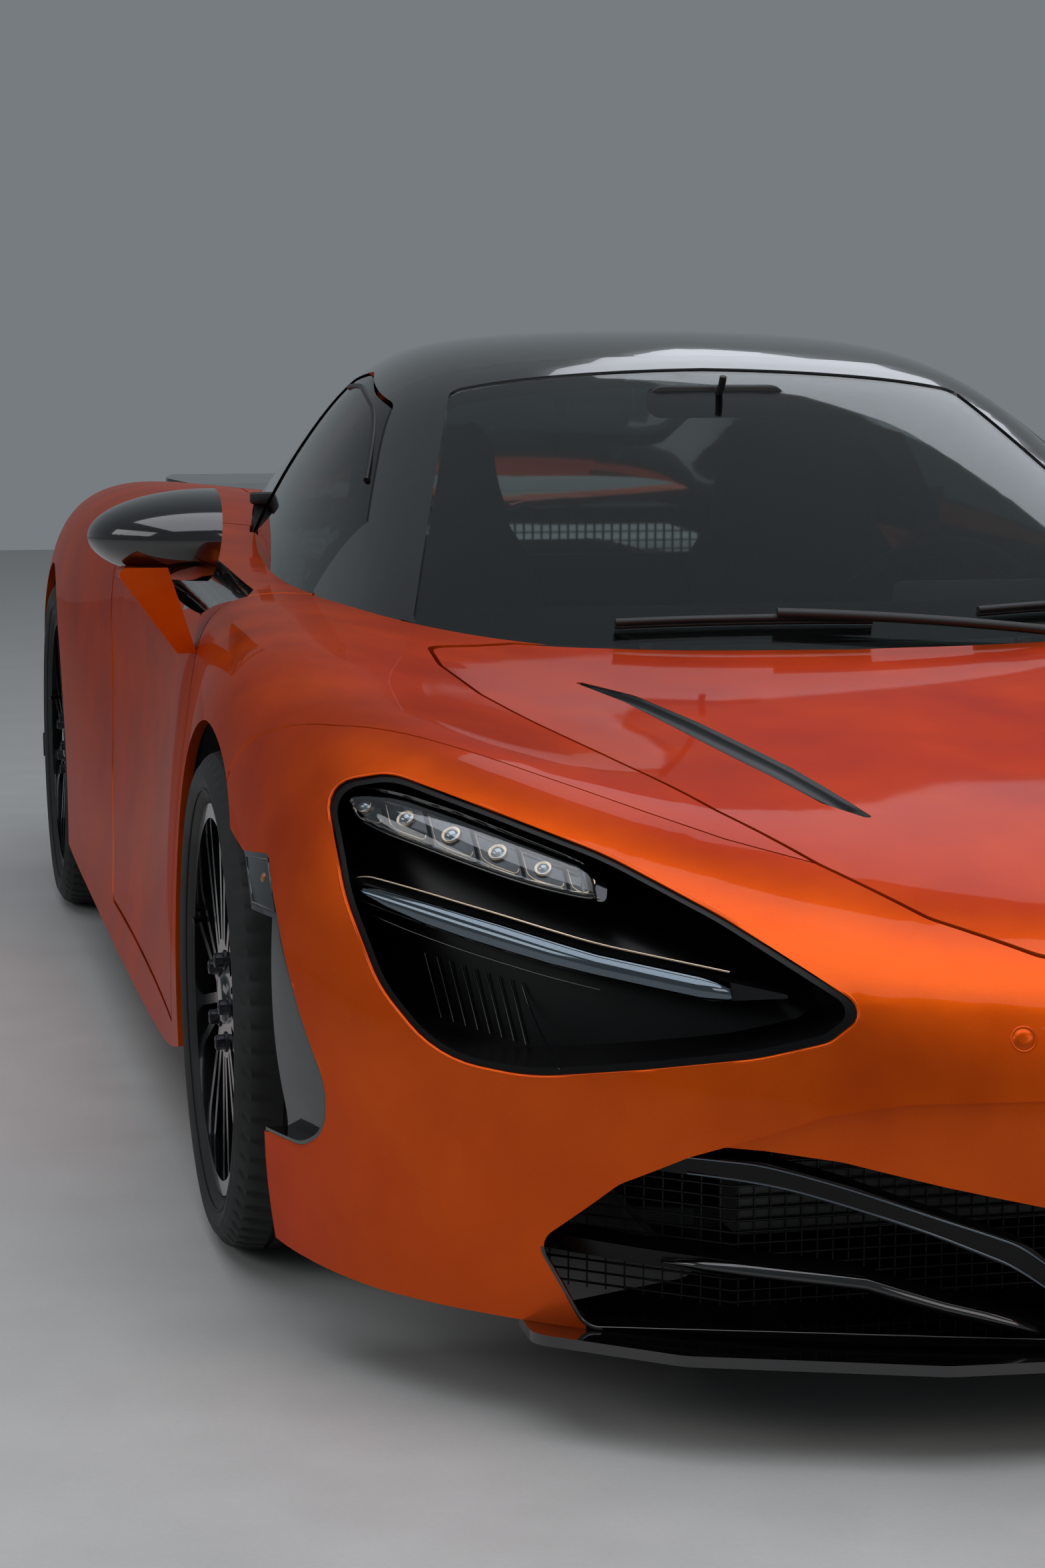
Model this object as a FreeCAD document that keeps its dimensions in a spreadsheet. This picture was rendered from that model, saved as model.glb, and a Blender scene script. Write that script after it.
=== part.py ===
"""A mid-engined two-seat supercar with upward-swinging doors, built as separate panels and running gear.

Millimetres, +Z up, the nose towards -Y and the car's left side at +X.
The origin is on the ground, in the middle of the car's length and width.
"""
import FreeCAD, Part
import math
import os
import Sketcher
from FreeCAD import Vector as V

doc = FreeCAD.newDocument("Supercar")

# Driving sizes: name, millimetres or degrees.
SIZES = (
    ("length_overall", 4543), ("wheelbase", 2670), ("front_overhang", 1085), ("half_width", 968),
    ("track_front", 1660), ("track_rear", 1616),
    ("tyre_front_radius", 327), ("tyre_front_width", 245), ("rim_front_radius", 246),
    ("tyre_rear_radius", 345), ("tyre_rear_width", 300), ("rim_rear_radius", 260),
    ("arch_clearance", 38), ("rim_lip", 10), ("rim_wall", 9), ("hub_radius", 78), ("spoke_count", 10),
    ("disc_radius", 190), ("disc_thickness", 34), ("spindle_radius", 30),
    ("skin", 14), ("door_thickness", 78), ("glass", 6), ("pillar_thickness", 30), ("panel_gap", 5),
    ("floor_height", 118), ("floor_thickness", 30), ("tub_half_width", 690), ("sill_height", 200),
    ("sill_width", 95), ("bulkhead_thickness", 40),
    ("frame_beam", 70), ("frame_half_width", 250), ("engine_width", 620), ("engine_length", 640),
    ("engine_height", 470), ("steering_wheel_radius", 180), ("steering_rim", 15),
    ("exhaust_radius", 58), ("exhaust_wall", 4), ("seat_width", 500), ("seat_offset", 350),
    ("mirror_half_width", 1034), ("bead_inset", 22), ("disc_back", 46), ("bell_depth", 26),
    ("tyre_shoulder", 26), ("bore_clearance", 0.5), ("exhaust_offset", 72), ("exhaust_height", 668),
    ("exhaust_length", 200), ("exhaust_floor", 15), ("liner_thickness", 4),
)

sheet = doc.addObject("Spreadsheet::Sheet", "Sizes")
for line, (name, value) in enumerate(SIZES, 1):
    sheet.set(f"A{line}", name)
    sheet.set(f"B{line}", str(value))
    sheet.setAlias(f"B{line}", name)
doc.recompute()


def size(name):
    """One value from the sheet."""
    return float(sheet.get(name))


FRONT = -size("length_overall") / 2 + size("front_overhang")
REAR = FRONT + size("wheelbase")
NOSE = -size("length_overall") / 2
TAIL = size("length_overall") / 2
ANCHORS = {"nose": NOSE, "front": FRONT, "rear": REAR, "tail": TAIL}
WIDE = size("half_width")
SKIN = size("skin")
GAP = size("panel_gap")
GLASS = size("glass")

# Control rows of the lower body, from the lip under the nose to the tail.
# anchor, setback of the centre line, sweep of the outer end behind the centre,
# half-widths of crown, shoulder, flank, low flank and sill,
# heights at centre, inner, slit, valley, crown, shoulder, flank, low flank and sill
BODY_ROWS = (
    ("nose", 40, 640, (720, 845, 905, 930, 942), (112, 112, 112, 112, 114, 118, 122, 132, 145)),
    ("nose", 10, 665, (735, 862, 925, 948, 958), (230, 230, 228, 225, 225, 225, 225, 220, 220)),
    ("nose", 0, 680, (745, 872, 935, 957, 964), (350, 350, 352, 355, 355, 345, 330, 310, 290)),
    ("nose", 14, 690, (742, 872, 938, 960, 966), (455, 455, 460, 470, 490, 480, 440, 380, 340)),
    ("nose", 60, 690, (738, 868, 938, 962, 968), (528, 530, 540, 570, 605, 600, 550, 450, 370)),
    ("nose", 200, 640, (742, 872, 940, 962, 966), (575, 580, 605, 645, 685, 680, 625, 500, 380)),
    ("nose", 430, 500, (762, 882, 944, 964, 966), (628, 632, 655, 692, 738, 728, 665, 515, 370)),
    ("front", -330, 260, (780, 892, 950, 966, 966), (680, 682, 688, 704, 758, 758, 700, 520, 330)),
    ("front", -50, 50, (790, 898, 956, 968, 966), (722, 722, 724, 734, 794, 782, 715, 520, 260)),
    ("front", 240, 0, (800, 895, 948, 962, 955), (752, 752, 756, 774, 808, 784, 700, 480, 220)),
    ("front", 480, 0, (800, 890, 915, 945, 945), (775, 775, 778, 790, 816, 780, 650, 420, 150)),
    ("front", 760, 0, (790, 880, 880, 920, 945), (790, 790, 790, 795, 812, 775, 630, 400, 138)),
    ("front", 1200, 0, (790, 885, 868, 905, 945), (800, 800, 805, 815, 832, 785, 630, 390, 135)),
    ("rear", -1060, 0, (800, 905, 890, 915, 945), (815, 815, 820, 835, 857, 812, 645, 400, 138)),
    ("rear", -700, 0, (800, 925, 935, 945, 945), (830, 830, 840, 862, 886, 838, 680, 430, 145)),
    ("rear", -350, 0, (790, 925, 968, 968, 955), (845, 845, 860, 885, 908, 853, 695, 450, 170)),
    ("rear", 0, 0, (780, 915, 972, 975, 965), (850, 850, 866, 888, 908, 853, 700, 460, 250)),
    ("rear", 330, 0, (760, 885, 955, 962, 940), (845, 845, 858, 876, 895, 848, 700, 480, 320)),
    ("rear", 600, 0, (730, 845, 915, 925, 900), (830, 832, 842, 858, 874, 832, 690, 500, 360)),
    ("rear", 760, 0, (690, 800, 870, 885, 860), (815, 818, 828, 842, 860, 820, 690, 520, 380)),
)
BODY_SWEEP = (0, 0.03, 0.11, 0.24, 0.42, 0.64, 0.85, 0.95, 1.0)
INNER_SHARES = (0, 0.25, 0.52, 0.77)

# Control rows of the canopy, from under the cowl to the ends of the buttresses.
# anchor, setback, half-width at the pillar and at the belt, heights at centre, quarter, pillar and belt
CANOPY_ROWS = (
    ("front", 110, 600, 660, 690, 680, 650, 600),
    ("front", 330, 635, 700, 815, 800, 765, 690),
    ("front", 600, 612, 738, 962, 937, 888, 740),
    ("front", 860, 565, 748, 1090, 1062, 1014, 760),
    ("front", 1060, 535, 742, 1170, 1148, 1104, 770),
    ("front", 1330, 505, 722, 1213, 1195, 1150, 780),
    ("front", 1640, 475, 687, 1203, 1184, 1135, 790),
    ("front", 1950, 460, 650, 1142, 1124, 1082, 800),
    ("front", 2300, 455, 610, 1040, 1028, 1000, 805),
    ("front", 2700, 455, 565, 930, 925, 905, 790),
)


def body_net():
    """The lower body's control points, right side to left."""
    net = []
    for anchor, setback, sweep, widths, heights in BODY_ROWS:
        crown = widths[0]
        across = [share * crown for share in INNER_SHARES] + list(widths)
        scale = WIDE / 968
        half = [V(x * scale, ANCHORS[anchor] + setback + sweep * s, z)
                for x, s, z in zip(across, BODY_SWEEP, heights)]
        net.append([V(-p.x, p.y, p.z) for p in reversed(half[1:])] + half)
    return net


def canopy_net():
    """The canopy's control points, right side to left."""
    net = []
    for anchor, setback, pillar, belt, top, quarter, high, low in CANOPY_ROWS:
        scale = WIDE / 968
        half = ((0, top), (0.4 * pillar, top - 0.25 * (top - quarter)), (0.78 * pillar, quarter),
                (pillar, high), (pillar + 0.45 * (belt - pillar), high - 0.34 * (high - low)),
                (pillar + 0.78 * (belt - pillar), high - 0.68 * (high - low)), (belt, low))
        y = ANCHORS[anchor] + setback
        half = [V(x * scale, y, z) for x, z in half]
        net.append([V(-p.x, p.y, p.z) for p in reversed(half[1:])] + half)
    return net


def inward(net, depth):
    """The net moved inwards by depth, square to itself."""
    rows, columns = len(net), len(net[0])
    moved = []
    for i in range(rows):
        line = []
        for j in range(columns):
            along = net[min(i + 1, rows - 1)][j] - net[max(i - 1, 0)][j]
            across = net[i][min(j + 1, columns - 1)] - net[i][max(j - 1, 0)]
            normal = along.cross(across)
            normal.normalize()
            line.append(net[i][j] + normal * depth)
        moved.append(line)
    return moved


def surface(net):
    """A clamped bicubic surface over a control net."""
    rows, columns = len(net), len(net[0])
    made = Part.BSplineSurface()
    made.buildFromPolesMultsKnots(
        net, [4] + [1] * (rows - 4) + [4], [4] + [1] * (columns - 4) + [4],
        list(range(rows - 2)), list(range(columns - 2)), False, False, 3, 3)
    return made


def skin_solid(net, shallow, deep):
    """The closed solid between two depths under a control net."""
    outer, inner = surface(inward(net, shallow)), surface(inward(net, deep))
    u0, u1, v0, v1 = outer.bounds()
    faces = [outer.toShape(), inner.toShape()]
    for edge in (u0, u1):
        faces.append(Part.makeRuledSurface(outer.uIso(edge).toShape(), inner.uIso(edge).toShape()))
    for edge in (v0, v1):
        faces.append(Part.makeRuledSurface(outer.vIso(edge).toShape(), inner.vIso(edge).toShape()))
    closed = Part.makeCompound(faces)
    closed.sewShape()
    solid = Part.makeSolid(closed.Shells[0])
    if solid.Volume < 0:
        solid.reverse()
    return solid


def rounded(points, radius=0.0):
    """A closed wire through points, its corners rounded by arcs of one radius, or of the point's own."""
    count = len(points)
    places = [V(*p[:3]) for p in points]
    radii = [p[3] if len(p) > 3 else radius for p in points]
    edges, starts, ends = [], [], []
    for k, corner in enumerate(places):
        before = places[k - 1] - corner
        after = places[(k + 1) % count] - corner
        longest = 0.48 * min(before.Length, after.Length)
        before.normalize()
        after.normalize()
        half = before.getAngle(after) / 2
        reach = radii[k] / math.tan(half) if radii[k] > 0 and math.pi / 2 - half > 0.004 else 0
        reach = min(reach, longest)
        starts.append(corner + before * reach)
        ends.append(corner + after * reach)
        if reach:
            middle = (before + after).normalize()
            bend = reach * math.tan(half)
            top = corner + middle * (bend / math.sin(half) - bend)
            edges.append(Part.Arc(starts[k], top, ends[k]).toShape())
    for k in range(count):
        if (starts[(k + 1) % count] - ends[k]).Length > 1e-6:
            edges.append(Part.LineSegment(ends[k], starts[(k + 1) % count]).toShape())
    return Part.Wire(Part.__sortEdges__(edges))


def prism(points, direction, radius=0.0):
    """The solid swept by a rounded outline along a direction."""
    return Part.Face(rounded(points, radius)).extrude(V(*direction))


def plan_prism(points, radius=0.0, low=0.0, high=1300.0):
    return prism([(p[0], p[1], low) + tuple(p[2:]) for p in points], (0, 0, high - low), radius)


def side_prism(points, x0, x1, radius=0.0):
    return prism([(x0, p[0], p[1]) + tuple(p[2:]) for p in points], (x1 - x0, 0, 0), radius)


def front_prism(points, y0, y1, radius=0.0):
    return prism([(p[0], y0, p[1]) + tuple(p[2:]) for p in points], (0, y1 - y0, 0), radius)


def mirrored(shape):
    return shape.mirror(V(0, 0, 0), V(1, 0, 0))


def biggest(shape):
    return max(shape.Solids, key=lambda s: s.Volume)


def below(net, lift, reach, columns):
    """The solid under a surface's middle columns, inset by lift, reaching straight down."""
    made = surface(inward(net, lift))
    u0, u1, v0, v1 = made.bounds()
    middle = (v0 + v1) / 2
    return made.toShape(u0, u1, middle - columns, middle + columns).extrude(V(0, 0, -reach))


BODY = body_net()
CANOPY = canopy_net()
CANOPY_COLUMNS = 5
BODY_COLUMNS = 5.6

# Panel outlines in plan on the car's left side: x, y and corner radius.
BONNET_EDGE = ((0, -982, 0), (300, -960, 60), (482, -944, 10), (618, -1024, 60), (626, -1150, 60),
               (604, -1300, 80), (560, -1450, 80), (502, -1650, 80), (440, -1820, 80),
               (365, -1965, 60), (280, -2082, 60), (180, -2158, 60), (0, -2190, 0))
SLIT_EDGE = ((470, -1150, 6), (392, -1255, 40), (345, -1400, 60), (290, -1620, 60), (250, -1835, 6),
             (300, -1770, 40), (352, -1570, 60), (415, -1290, 60))
BUMPER_EDGE = ((940, -1376), (896, -1462), (834, -1552), (764, -1622), (705, -1682), (629, -1757),
               (529, -1849), (457, -1911), (370, -1965))
DECK_EDGE = ((0, 480, 0), (520, 480, 0), (560, 1300, 200), (480, 2400, 0), (0, 2400, 0))
# The channel along the door's shoulder and the intake that it leads to.
CHANNEL_EDGE = ((812, -560, 12), (862, -440, 90), (864, -150, 200), (852, 250, 300), (846, 640, 0),
                (776, 640, 0), (780, 250, 300), (778, -150, 200), (780, -430, 90))
MOUTH_EDGE = ((777, 640, 0), (845, 640, 0), (842, 800, 60), (815, 905, 9), (788, 905, 9), (776, 800, 60))
# Outlines seen from the front on the left side: x, z and corner radius.
LAMP_EDGE = ((866, 672, 60), (796, 690, 60), (708, 662, 300), (600, 624, 300), (500, 571, 300), (372, 486, 18),
             (415, 453, 40), (484, 434, 300), (591, 415, 300), (700, 396, 200), (786, 404, 90),
             (836, 470, 120), (862, 560, 200))
LAMP_LIP = 8
BLADE_EDGE = ((900, 584, 0), (784, 564, 80), (714, 549, 80), (626, 527, 80), (531, 511, 80), (432, 493, 2),
              (520, 486, 60), (663, 510, 80), (755, 531, 80), (837, 552, 60), (900, 560, 0))
UNIT_EDGE = ((838, 662, 8), (785, 655, 30), (739, 643, 30), (679, 622, 30), (598, 594, 8), (606, 574, 8),
             (679, 590, 30), (739, 608, 30), (785, 622, 30), (838, 636, 8))
INTAKE_EDGE = ((0, 398, 0), (203, 398, 30), (340, 393, 40), (420, 378, 40), (483, 353, 40),
               (551, 326, 40), (616, 290, 40), (690, 215, 25), (640, 122, 20), (0, 122, 0))
BROW_EDGE = ((0, 410, 0), (203, 410, 30), (340, 405, 40), (420, 390, 40), (500, 360, 40), (540, 338, 4),
             (476, 336, 60), (403, 328, 60), (301, 304, 60), (169, 276, 60), (0, 262, 0))
UPPER_VANE = ((700, 330, 0), (539, 316, 60), (466, 314, 60), (383, 293, 60), (300, 264, 60), (198, 229, 60),
              (120, 160, 30), (60, 100, 0), (96, 100, 0), (150, 160, 40), (210, 202, 60), (300, 240, 60),
              (383, 268, 60), (466, 290, 60), (700, 306, 0))
LOWER_VANE = ((0, 124, 0), (150, 134, 60), (284, 167, 60), (364, 192, 60), (700, 214, 0), (700, 196, 0),
              (364, 174, 60), (284, 149, 60), (150, 116, 60), (0, 104, 0))
TAIL_LAMP_EDGE = ((250, 792, 4), (640, 786, 120), (780, 746, 40), (800, 640, 8), (786, 640, 4), (762, 734, 30),
                  (630, 770, 120), (250, 778, 4))
TAIL_MESH_EDGE = ((150, 752, 20), (600, 752, 90), (740, 706, 50), (756, 600, 40), (700, 470, 40),
                  (560, 440, 40), (220, 440, 40), (150, 520, 20))
MIRROR_INNER = ((838, 990), (1100, 990), (1100, 790), (862, 790))
STALK_EDGE = ((884, 722), (912, 722), (1006, 850, 10), (925, 850))
# Outlines seen from the side: y, z and corner radius.
DOOR_EDGE = ((-806, 205, 0), (330, 205, 60), (470, 400, 200), (560, 690, 60), (560, 1000, 0), (-640, 1000, 0))
GLASS_EDGE = ((-900, 640, 0), (-900, 762, 0), (-640, 808, 0), (-560, 868, 60), (-170, 1078, 140),
              (130, 1128, 200), (400, 1110, 60), (500, 700, 0))
VENT_EDGE = ((-1400, 521, 0), (-1664, 521, 0), (-1717, 450, 160), (-1790, 345, 120), (-1784, 290, 60),
             (-1738, 264, 60), (-1400, 274, 0))
MARKER_EDGE = ((-1400, 574, 0), (-1530, 576, 10), (-1606, 584, 20), (-1664, 521, 0), (-1400, 521, 0))
ARCH_FRONT_EDGE = ((-1300, 60, 0), (-1642, 60, 0), (-1638, 131, 0), (-1664, 284, 60), (-1587, 520, 60),
                   (-1525, 574, 60), (-1440, 590, 0), (-1300, 590, 0))
SEAT_SIDE = ((-60, 250, 40), (-40, 140, 30), (380, 140, 60), (500, 870, 60), (502, 1030, 40), (430, 1046, 36),
             (392, 880, 80), (290, 350, 60), (0, 330, 40))
SEAT_FRONT = ((-250, 140, 0), (-250, 560, 60), (-205, 760, 60), (-150, 850, 50), (-118, 1060, 60),
              (118, 1060, 60), (150, 850, 50), (205, 760, 60), (250, 560, 60), (250, 140, 0))
WINDSCREEN_EDGE = ((0, -185, 0), (428, -200, 30), (600, -800, 0), (600, -1200, 0), (0, -1200, 0))
PILLAR_EDGE = ((0, -118, 0), (700, -118, 0), (700, -620, 0), (760, -1200, 0), (0, -1200, 0))

# Swing axis of the left door, from the lower hinge to the upper one, and the front edge's radius about it.
HINGE_LOW = V(890, FRONT + 396, 330)
HINGE_WAY = V(-0.27, 0.20, 0.942).normalize()
HINGE_BACK = (V(0, 1, 0) - HINGE_WAY * HINGE_WAY.y).normalize()
HINGE_OUT = HINGE_BACK.cross(HINGE_WAY)
DOOR_RADIUS = (80, 205)
HINGE_HEIGHTS = (120, 380)

tyre_f = size("tyre_front_radius")
tyre_r = size("tyre_rear_radius")
arch_f = tyre_f + size("arch_clearance")
arch_r = tyre_r + size("arch_clearance")
NODES = []
SEAM = 3.2
DOOR_GAP = 6.5


def keep(label, shape):
    """Stores a finished shape as a sub-part of the document."""
    made = doc.addObject("Part::Feature", label)
    made.Shape = shape
    return node(label, made)


def node(label, made):
    """Marks a document object as a sub-part with its own file."""
    made.Label = label
    NODES.append(made)
    return made


def both(points):
    """A left-hand outline that starts and ends on the middle line, completed by its mirror image."""
    return list(points) + [(-p[0],) + tuple(p[1:]) for p in reversed(points[1:-1])]


def outset(points, out):
    """A closed outline of flat points moved outwards by a distance, keeping its corner radii."""
    count = len(points)
    area = sum(points[k - 1][0] * points[k][1] - points[k][0] * points[k - 1][1] for k in range(count))
    turn = 1 if area > 0 else -1
    grown = []
    for k, point in enumerate(points):
        before = V(point[0] - points[k - 1][0], point[1] - points[k - 1][1], 0).normalize()
        after = V(points[(k + 1) % count][0] - point[0], points[(k + 1) % count][1] - point[1], 0).normalize()
        way = (before + after).normalize()
        reach = turn * out / max(0.3, way.dot(after))
        grown.append((point[0] + way.y * reach, point[1] - way.x * reach) + tuple(point[2:]))
    return grown


def hinge_cone(extra):
    """Everything within the door's front radius of its swing axis, which widens upwards."""
    foot = HINGE_LOW - HINGE_WAY * 300
    return Part.makeCone(DOOR_RADIUS[0] + extra, DOOR_RADIUS[1] + extra, 1000, foot, HINGE_WAY)


def barrel(x0, x1, y, z, radius):
    """A cylinder along X between two planes."""
    return Part.makeCylinder(radius, abs(x1 - x0), V(min(x0, x1), y, z), V(1, 0, 0))


def box(x0, x1, y0, y1, z0, z1):
    return Part.makeBox(abs(x1 - x0), y1 - y0, z1 - z0, V(min(x0, x1), y0, z0))


def sided(shape):
    """A left-hand shape with its mirror image, as separate solids."""
    return Part.makeCompound(shape.Solids + mirrored(shape).Solids)


def merged(shapes):
    """Shapes fused to one, without the seams between them."""
    return shapes[0].multiFuse(shapes[1:]).removeSplitter() if len(shapes) > 1 else shapes[0]


def ribbon(points, width):
    """A band of one width along a bent line of x and y."""
    places = [V(x, y, 0) for x, y in points]
    left, right = [], []
    for k, place in enumerate(places):
        before = (place - places[k - 1]).normalize() if k else (places[1] - place).normalize()
        after = (places[k + 1] - place).normalize() if k < len(places) - 1 else before
        way = (before + after).normalize()
        out = V(-way.y, way.x, 0) * (width / 2 / max(0.3, way.dot(after)))
        left.append(place + out)
        right.append(place - out)
    ring = left + right[::-1]
    return Part.Face(Part.makePolygon(ring + [ring[0]]))


def hinge_frame(shape, height):
    """A shape drawn outwards, backwards and upwards about the door's axis, moved to a height along it."""
    start = HINGE_LOW + HINGE_WAY * height
    place = FreeCAD.Matrix(HINGE_OUT.x, HINGE_BACK.x, HINGE_WAY.x, start.x,
                           HINGE_OUT.y, HINGE_BACK.y, HINGE_WAY.y, start.y,
                           HINGE_OUT.z, HINGE_BACK.z, HINGE_WAY.z, start.z, 0, 0, 0, 1)
    copy = shape.copy()
    copy.Placement = FreeCAD.Placement(place).multiply(copy.Placement)
    return copy


# Body shell and the tools that split it.
shell = skin_solid(BODY, 0, SKIN)
groove_zone = skin_solid(BODY, -4, SKIN / 2)
canopy_thick = skin_solid(CANOPY, 0, size("pillar_thickness"))
glazing = skin_solid(CANOPY, 3, 3 + GLASS)
under_canopy = below(CANOPY, -3, 700, CANOPY_COLUMNS)
clear_of_canopy = below(CANOPY, -GAP - 1, 700, CANOPY_COLUMNS)
under_glass = below(CANOPY, 3, 700, CANOPY_COLUMNS)
under_body = below(BODY, SKIN + 8, 600, BODY_COLUMNS)
arch_pair = merged([barrel(500, 1200, FRONT, tyre_f, arch_f), side_prism(ARCH_FRONT_EDGE, 500, 1200),
                    barrel(500, 1200, REAR, tyre_r, arch_r)])
arches = Part.makeCompound([arch_pair, mirrored(arch_pair)])
bonnet_tool = plan_prism(both(BONNET_EDGE))
bonnet_room = plan_prism(outset(both(BONNET_EDGE), GAP + 1))
bonnet_hole = bonnet_room.fuse(bonnet_room.translated(V(0, 8, 0)))
lamp_tool = front_prism(LAMP_EDGE, NOSE - 100, FRONT - 280)
lamp_inner = front_prism(outset(LAMP_EDGE, -LAMP_LIP), NOSE - 100, FRONT - 280)
intake_tool = front_prism(both(INTAKE_EDGE), NOSE - 100, -1850)
slit_tool = plan_prism(SLIT_EDGE)
bumper_rear = [(0, -1965, 0)] + [(x, y, 0) for x, y in reversed(BUMPER_EDGE)]
bumper_line = both(bumper_rear + [(1300, -1376, 0), (1300, -2600, 0), (0, -2600, 0)])
bumper_tool = plan_prism(bumper_line, 0, -50, 1300)
hinge_room = hinge_cone(-DOOR_GAP)
door_tool = side_prism(DOOR_EDGE, 560, 1100).cut(hinge_cone(0))
door_room = []
for y, z, bend in DOOR_EDGE:
    door_room.append((y + DOOR_GAP + 3 if y > 0 else y, z - DOOR_GAP if z < 300 else z, bend))
door_hole = side_prism(door_room, 500, 1100).cut(hinge_room)
deck_tool = plan_prism(both(DECK_EDGE))
channel_tool = plan_prism(CHANNEL_EDGE)
mouth_tool = plan_prism(MOUTH_EDGE)
left_half = box(0, 1300, -2500, 2500, -50, 1400)
sill_strip = box(500, 1300, FRONT + 420, REAR - 330, -50, 205)
wing_front = TAIL - 345
open_shell = shell.cut(arches).cut(under_canopy)


def seam(points):
    """A shallow groove tool along a plan outline, as wide as a fixed panel's gap."""
    return plan_prism(outset(points, SEAM / 2)).cut(plan_prism(outset(points, -SEAM / 2))).common(groove_zone)


bumper_seam = seam(bumper_line)
deck_seam = seam(both(DECK_EDGE))

# Bonnet with its slits and hinge arms.
BONNET_PIVOT = V(280, -900, 745)
PIN = 7
bonnet = biggest(open_shell.common(bonnet_tool).cut(slit_tool).cut(mirrored(slit_tool)))
arm_line = ((-900, 745), (-916, 655), (-985, 655), (-1040, 735))
arm = ribbon(arm_line, 16)
arm.rotate(V(0, 0, 0), V(1, 1, 1), 120)
arm.translate(V(BONNET_PIVOT.x, 0, 0))
arm = arm.extrude(V(14, 0, 0)).fuse(barrel(280, 294, -900, 745, 14))
arm = arm.cut(barrel(270, 300, -900, 745, PIN + 0.1)).cut(skin_solid(BODY, -60, SKIN - 4))
keep("bonnet", merged([bonnet, arm, mirrored(arm)]))
rest = open_shell.cut(bonnet_hole)

# Bumper cover with its brow, lamp sockets, corner vents and lower intake.
VENT_DEPTH, VENT_WALL = 26, 5
brow_tool = front_prism(both(BROW_EDGE), NOSE - 100, -1850)
bumper = rest.common(bumper_tool).cut(lamp_tool).cut(mirrored(lamp_tool)).cut(intake_tool)
brow = skin_solid(BODY, 9, 30).common(brow_tool).cut(bonnet_hole)
vent_tool = side_prism(VENT_EDGE, 500, 1100)
marker_tool = side_prism(MARKER_EDGE, 500, 1100)
corner_tool = vent_tool.fuse(marker_tool)
vent_dish = skin_solid(BODY, -20, VENT_DEPTH).common(side_prism(outset(VENT_EDGE, -VENT_WALL), 500, 1100))
vent = biggest(skin_solid(BODY, 1.5, VENT_DEPTH + VENT_WALL).common(vent_tool).cut(arches).cut(vent_dish))
marker = biggest(skin_solid(BODY, 1, SKIN).common(marker_tool).cut(arches))
bumper = biggest(bumper).fuse(biggest(brow)).cut(corner_tool).cut(mirrored(corner_tool)).cut(bumper_seam)
SHELF = 118
keep("front_bumper", biggest(bumper.cut(box(-1200, 1200, NOSE - 50, FRONT, 0, SHELF))))
keep("corner_vents", sided(vent))

# Intake duct behind the bumper with its vanes.
duct_ring = front_prism(outset(both(INTAKE_EDGE), 5), NOSE - 100, -1850).cut(intake_tool)
duct_zone = skin_solid(BODY, SKIN, 120)
duct = duct_ring.common(duct_zone).cut(box(-1200, 1200, NOSE - 50, FRONT, 0, SHELF)).cut(brow)
duct = biggest(duct)
vane_zone = skin_solid(BODY, 44, 96)
upper_vane = front_prism(UPPER_VANE, NOSE - 100, -1850)
lower_vane = front_prism(both(LOWER_VANE), NOSE - 100, -1850)
floor_cut = box(-1200, 1200, NOSE - 50, FRONT, 0, SHELF)
vane_shapes = merged([upper_vane, mirrored(upper_vane), lower_vane])
vanes = vane_zone.common(vane_shapes).common(intake_tool).cut(floor_cut)
duct = biggest(duct.multiFuse(vanes.Solids))

# Head lamps: a deep dark bowl behind the lip with lit units and a bright blade across it.
bowl = skin_solid(BODY, 3, 92).common(lamp_tool).cut(skin_solid(BODY, -20, 84).common(lamp_inner))
keep("headlamp_bowls", sided(biggest(bowl)))
blade = skin_solid(BODY, 18, 84).common(front_prism(BLADE_EDGE, NOSE - 100, FRONT - 280)).common(lamp_inner)
keep("headlamp_blades", sided(biggest(blade)))
unit_row = skin_solid(BODY, 26, 84).common(front_prism(UNIT_EDGE, NOSE - 100, FRONT - 280)).common(lamp_inner)
UNIT_SPLITS = (640, 682, 724, 766, 806)
for x in UNIT_SPLITS:
    unit_row = unit_row.cut(box(x - 2, x + 2, NOSE - 100, FRONT, 500, 700))
keep("lamp_units", Part.makeCompound(sided(unit_row).Solids + sided(marker).Solids))

# Wings, sills, quarters, engine deck and side intakes.
left_rest = rest.cut(bumper_tool).common(left_half).cut(door_hole)
wing = biggest(left_rest.common(box(0, 1300, -2500, -300, -50, 1400))).cut(sill_strip).cut(bumper_seam)
keep("wings", sided(biggest(wing)))
keep("sill_panels", sided(biggest(left_rest.common(sill_strip))))
rear_left = left_rest.cut(box(0, 1300, -2500, -300, -50, 1400)).cut(deck_tool).cut(sill_strip).cut(mouth_tool)
aerofoil = side_prism(((wing_front + 5, 833, 4), (wing_front + 8, 851, 6), (TAIL - 190, 868, 200),
                       (TAIL, 884, 6), (TAIL - 2, 870, 5), (TAIL - 190, 850, 200)), -700, 700)
WING_TRAY = 808
wing_plan = plan_prism(((-520, wing_front + 5, 60), (520, wing_front + 5, 60), (640, TAIL - 70, 60),
                        (610, TAIL, 40), (-610, TAIL, 40), (-640, TAIL - 70, 60)))
wing_posts = [box(x - 12, x + 12, TAIL - 170, TAIL - 110, WING_TRAY, 856) for x in (-330, 330)]
rear_wing = merged([aerofoil.common(wing_plan)] + wing_posts)
wing_bed = plan_prism(((-525, wing_front, 60), (525, wing_front, 60), (646, TAIL - 70, 60),
                       (646, TAIL + 100, 0), (-646, TAIL + 100, 0), (-646, TAIL - 70, 60)))
keep("quarters", sided(biggest(rear_left.cut(deck_seam).cut(wing_bed))))
LOUVRE_LENGTH, LOUVRE_WIDTH, LOUVRE_STEP, LOUVRE_COUNT = 190, 22, 60, 7
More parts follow.
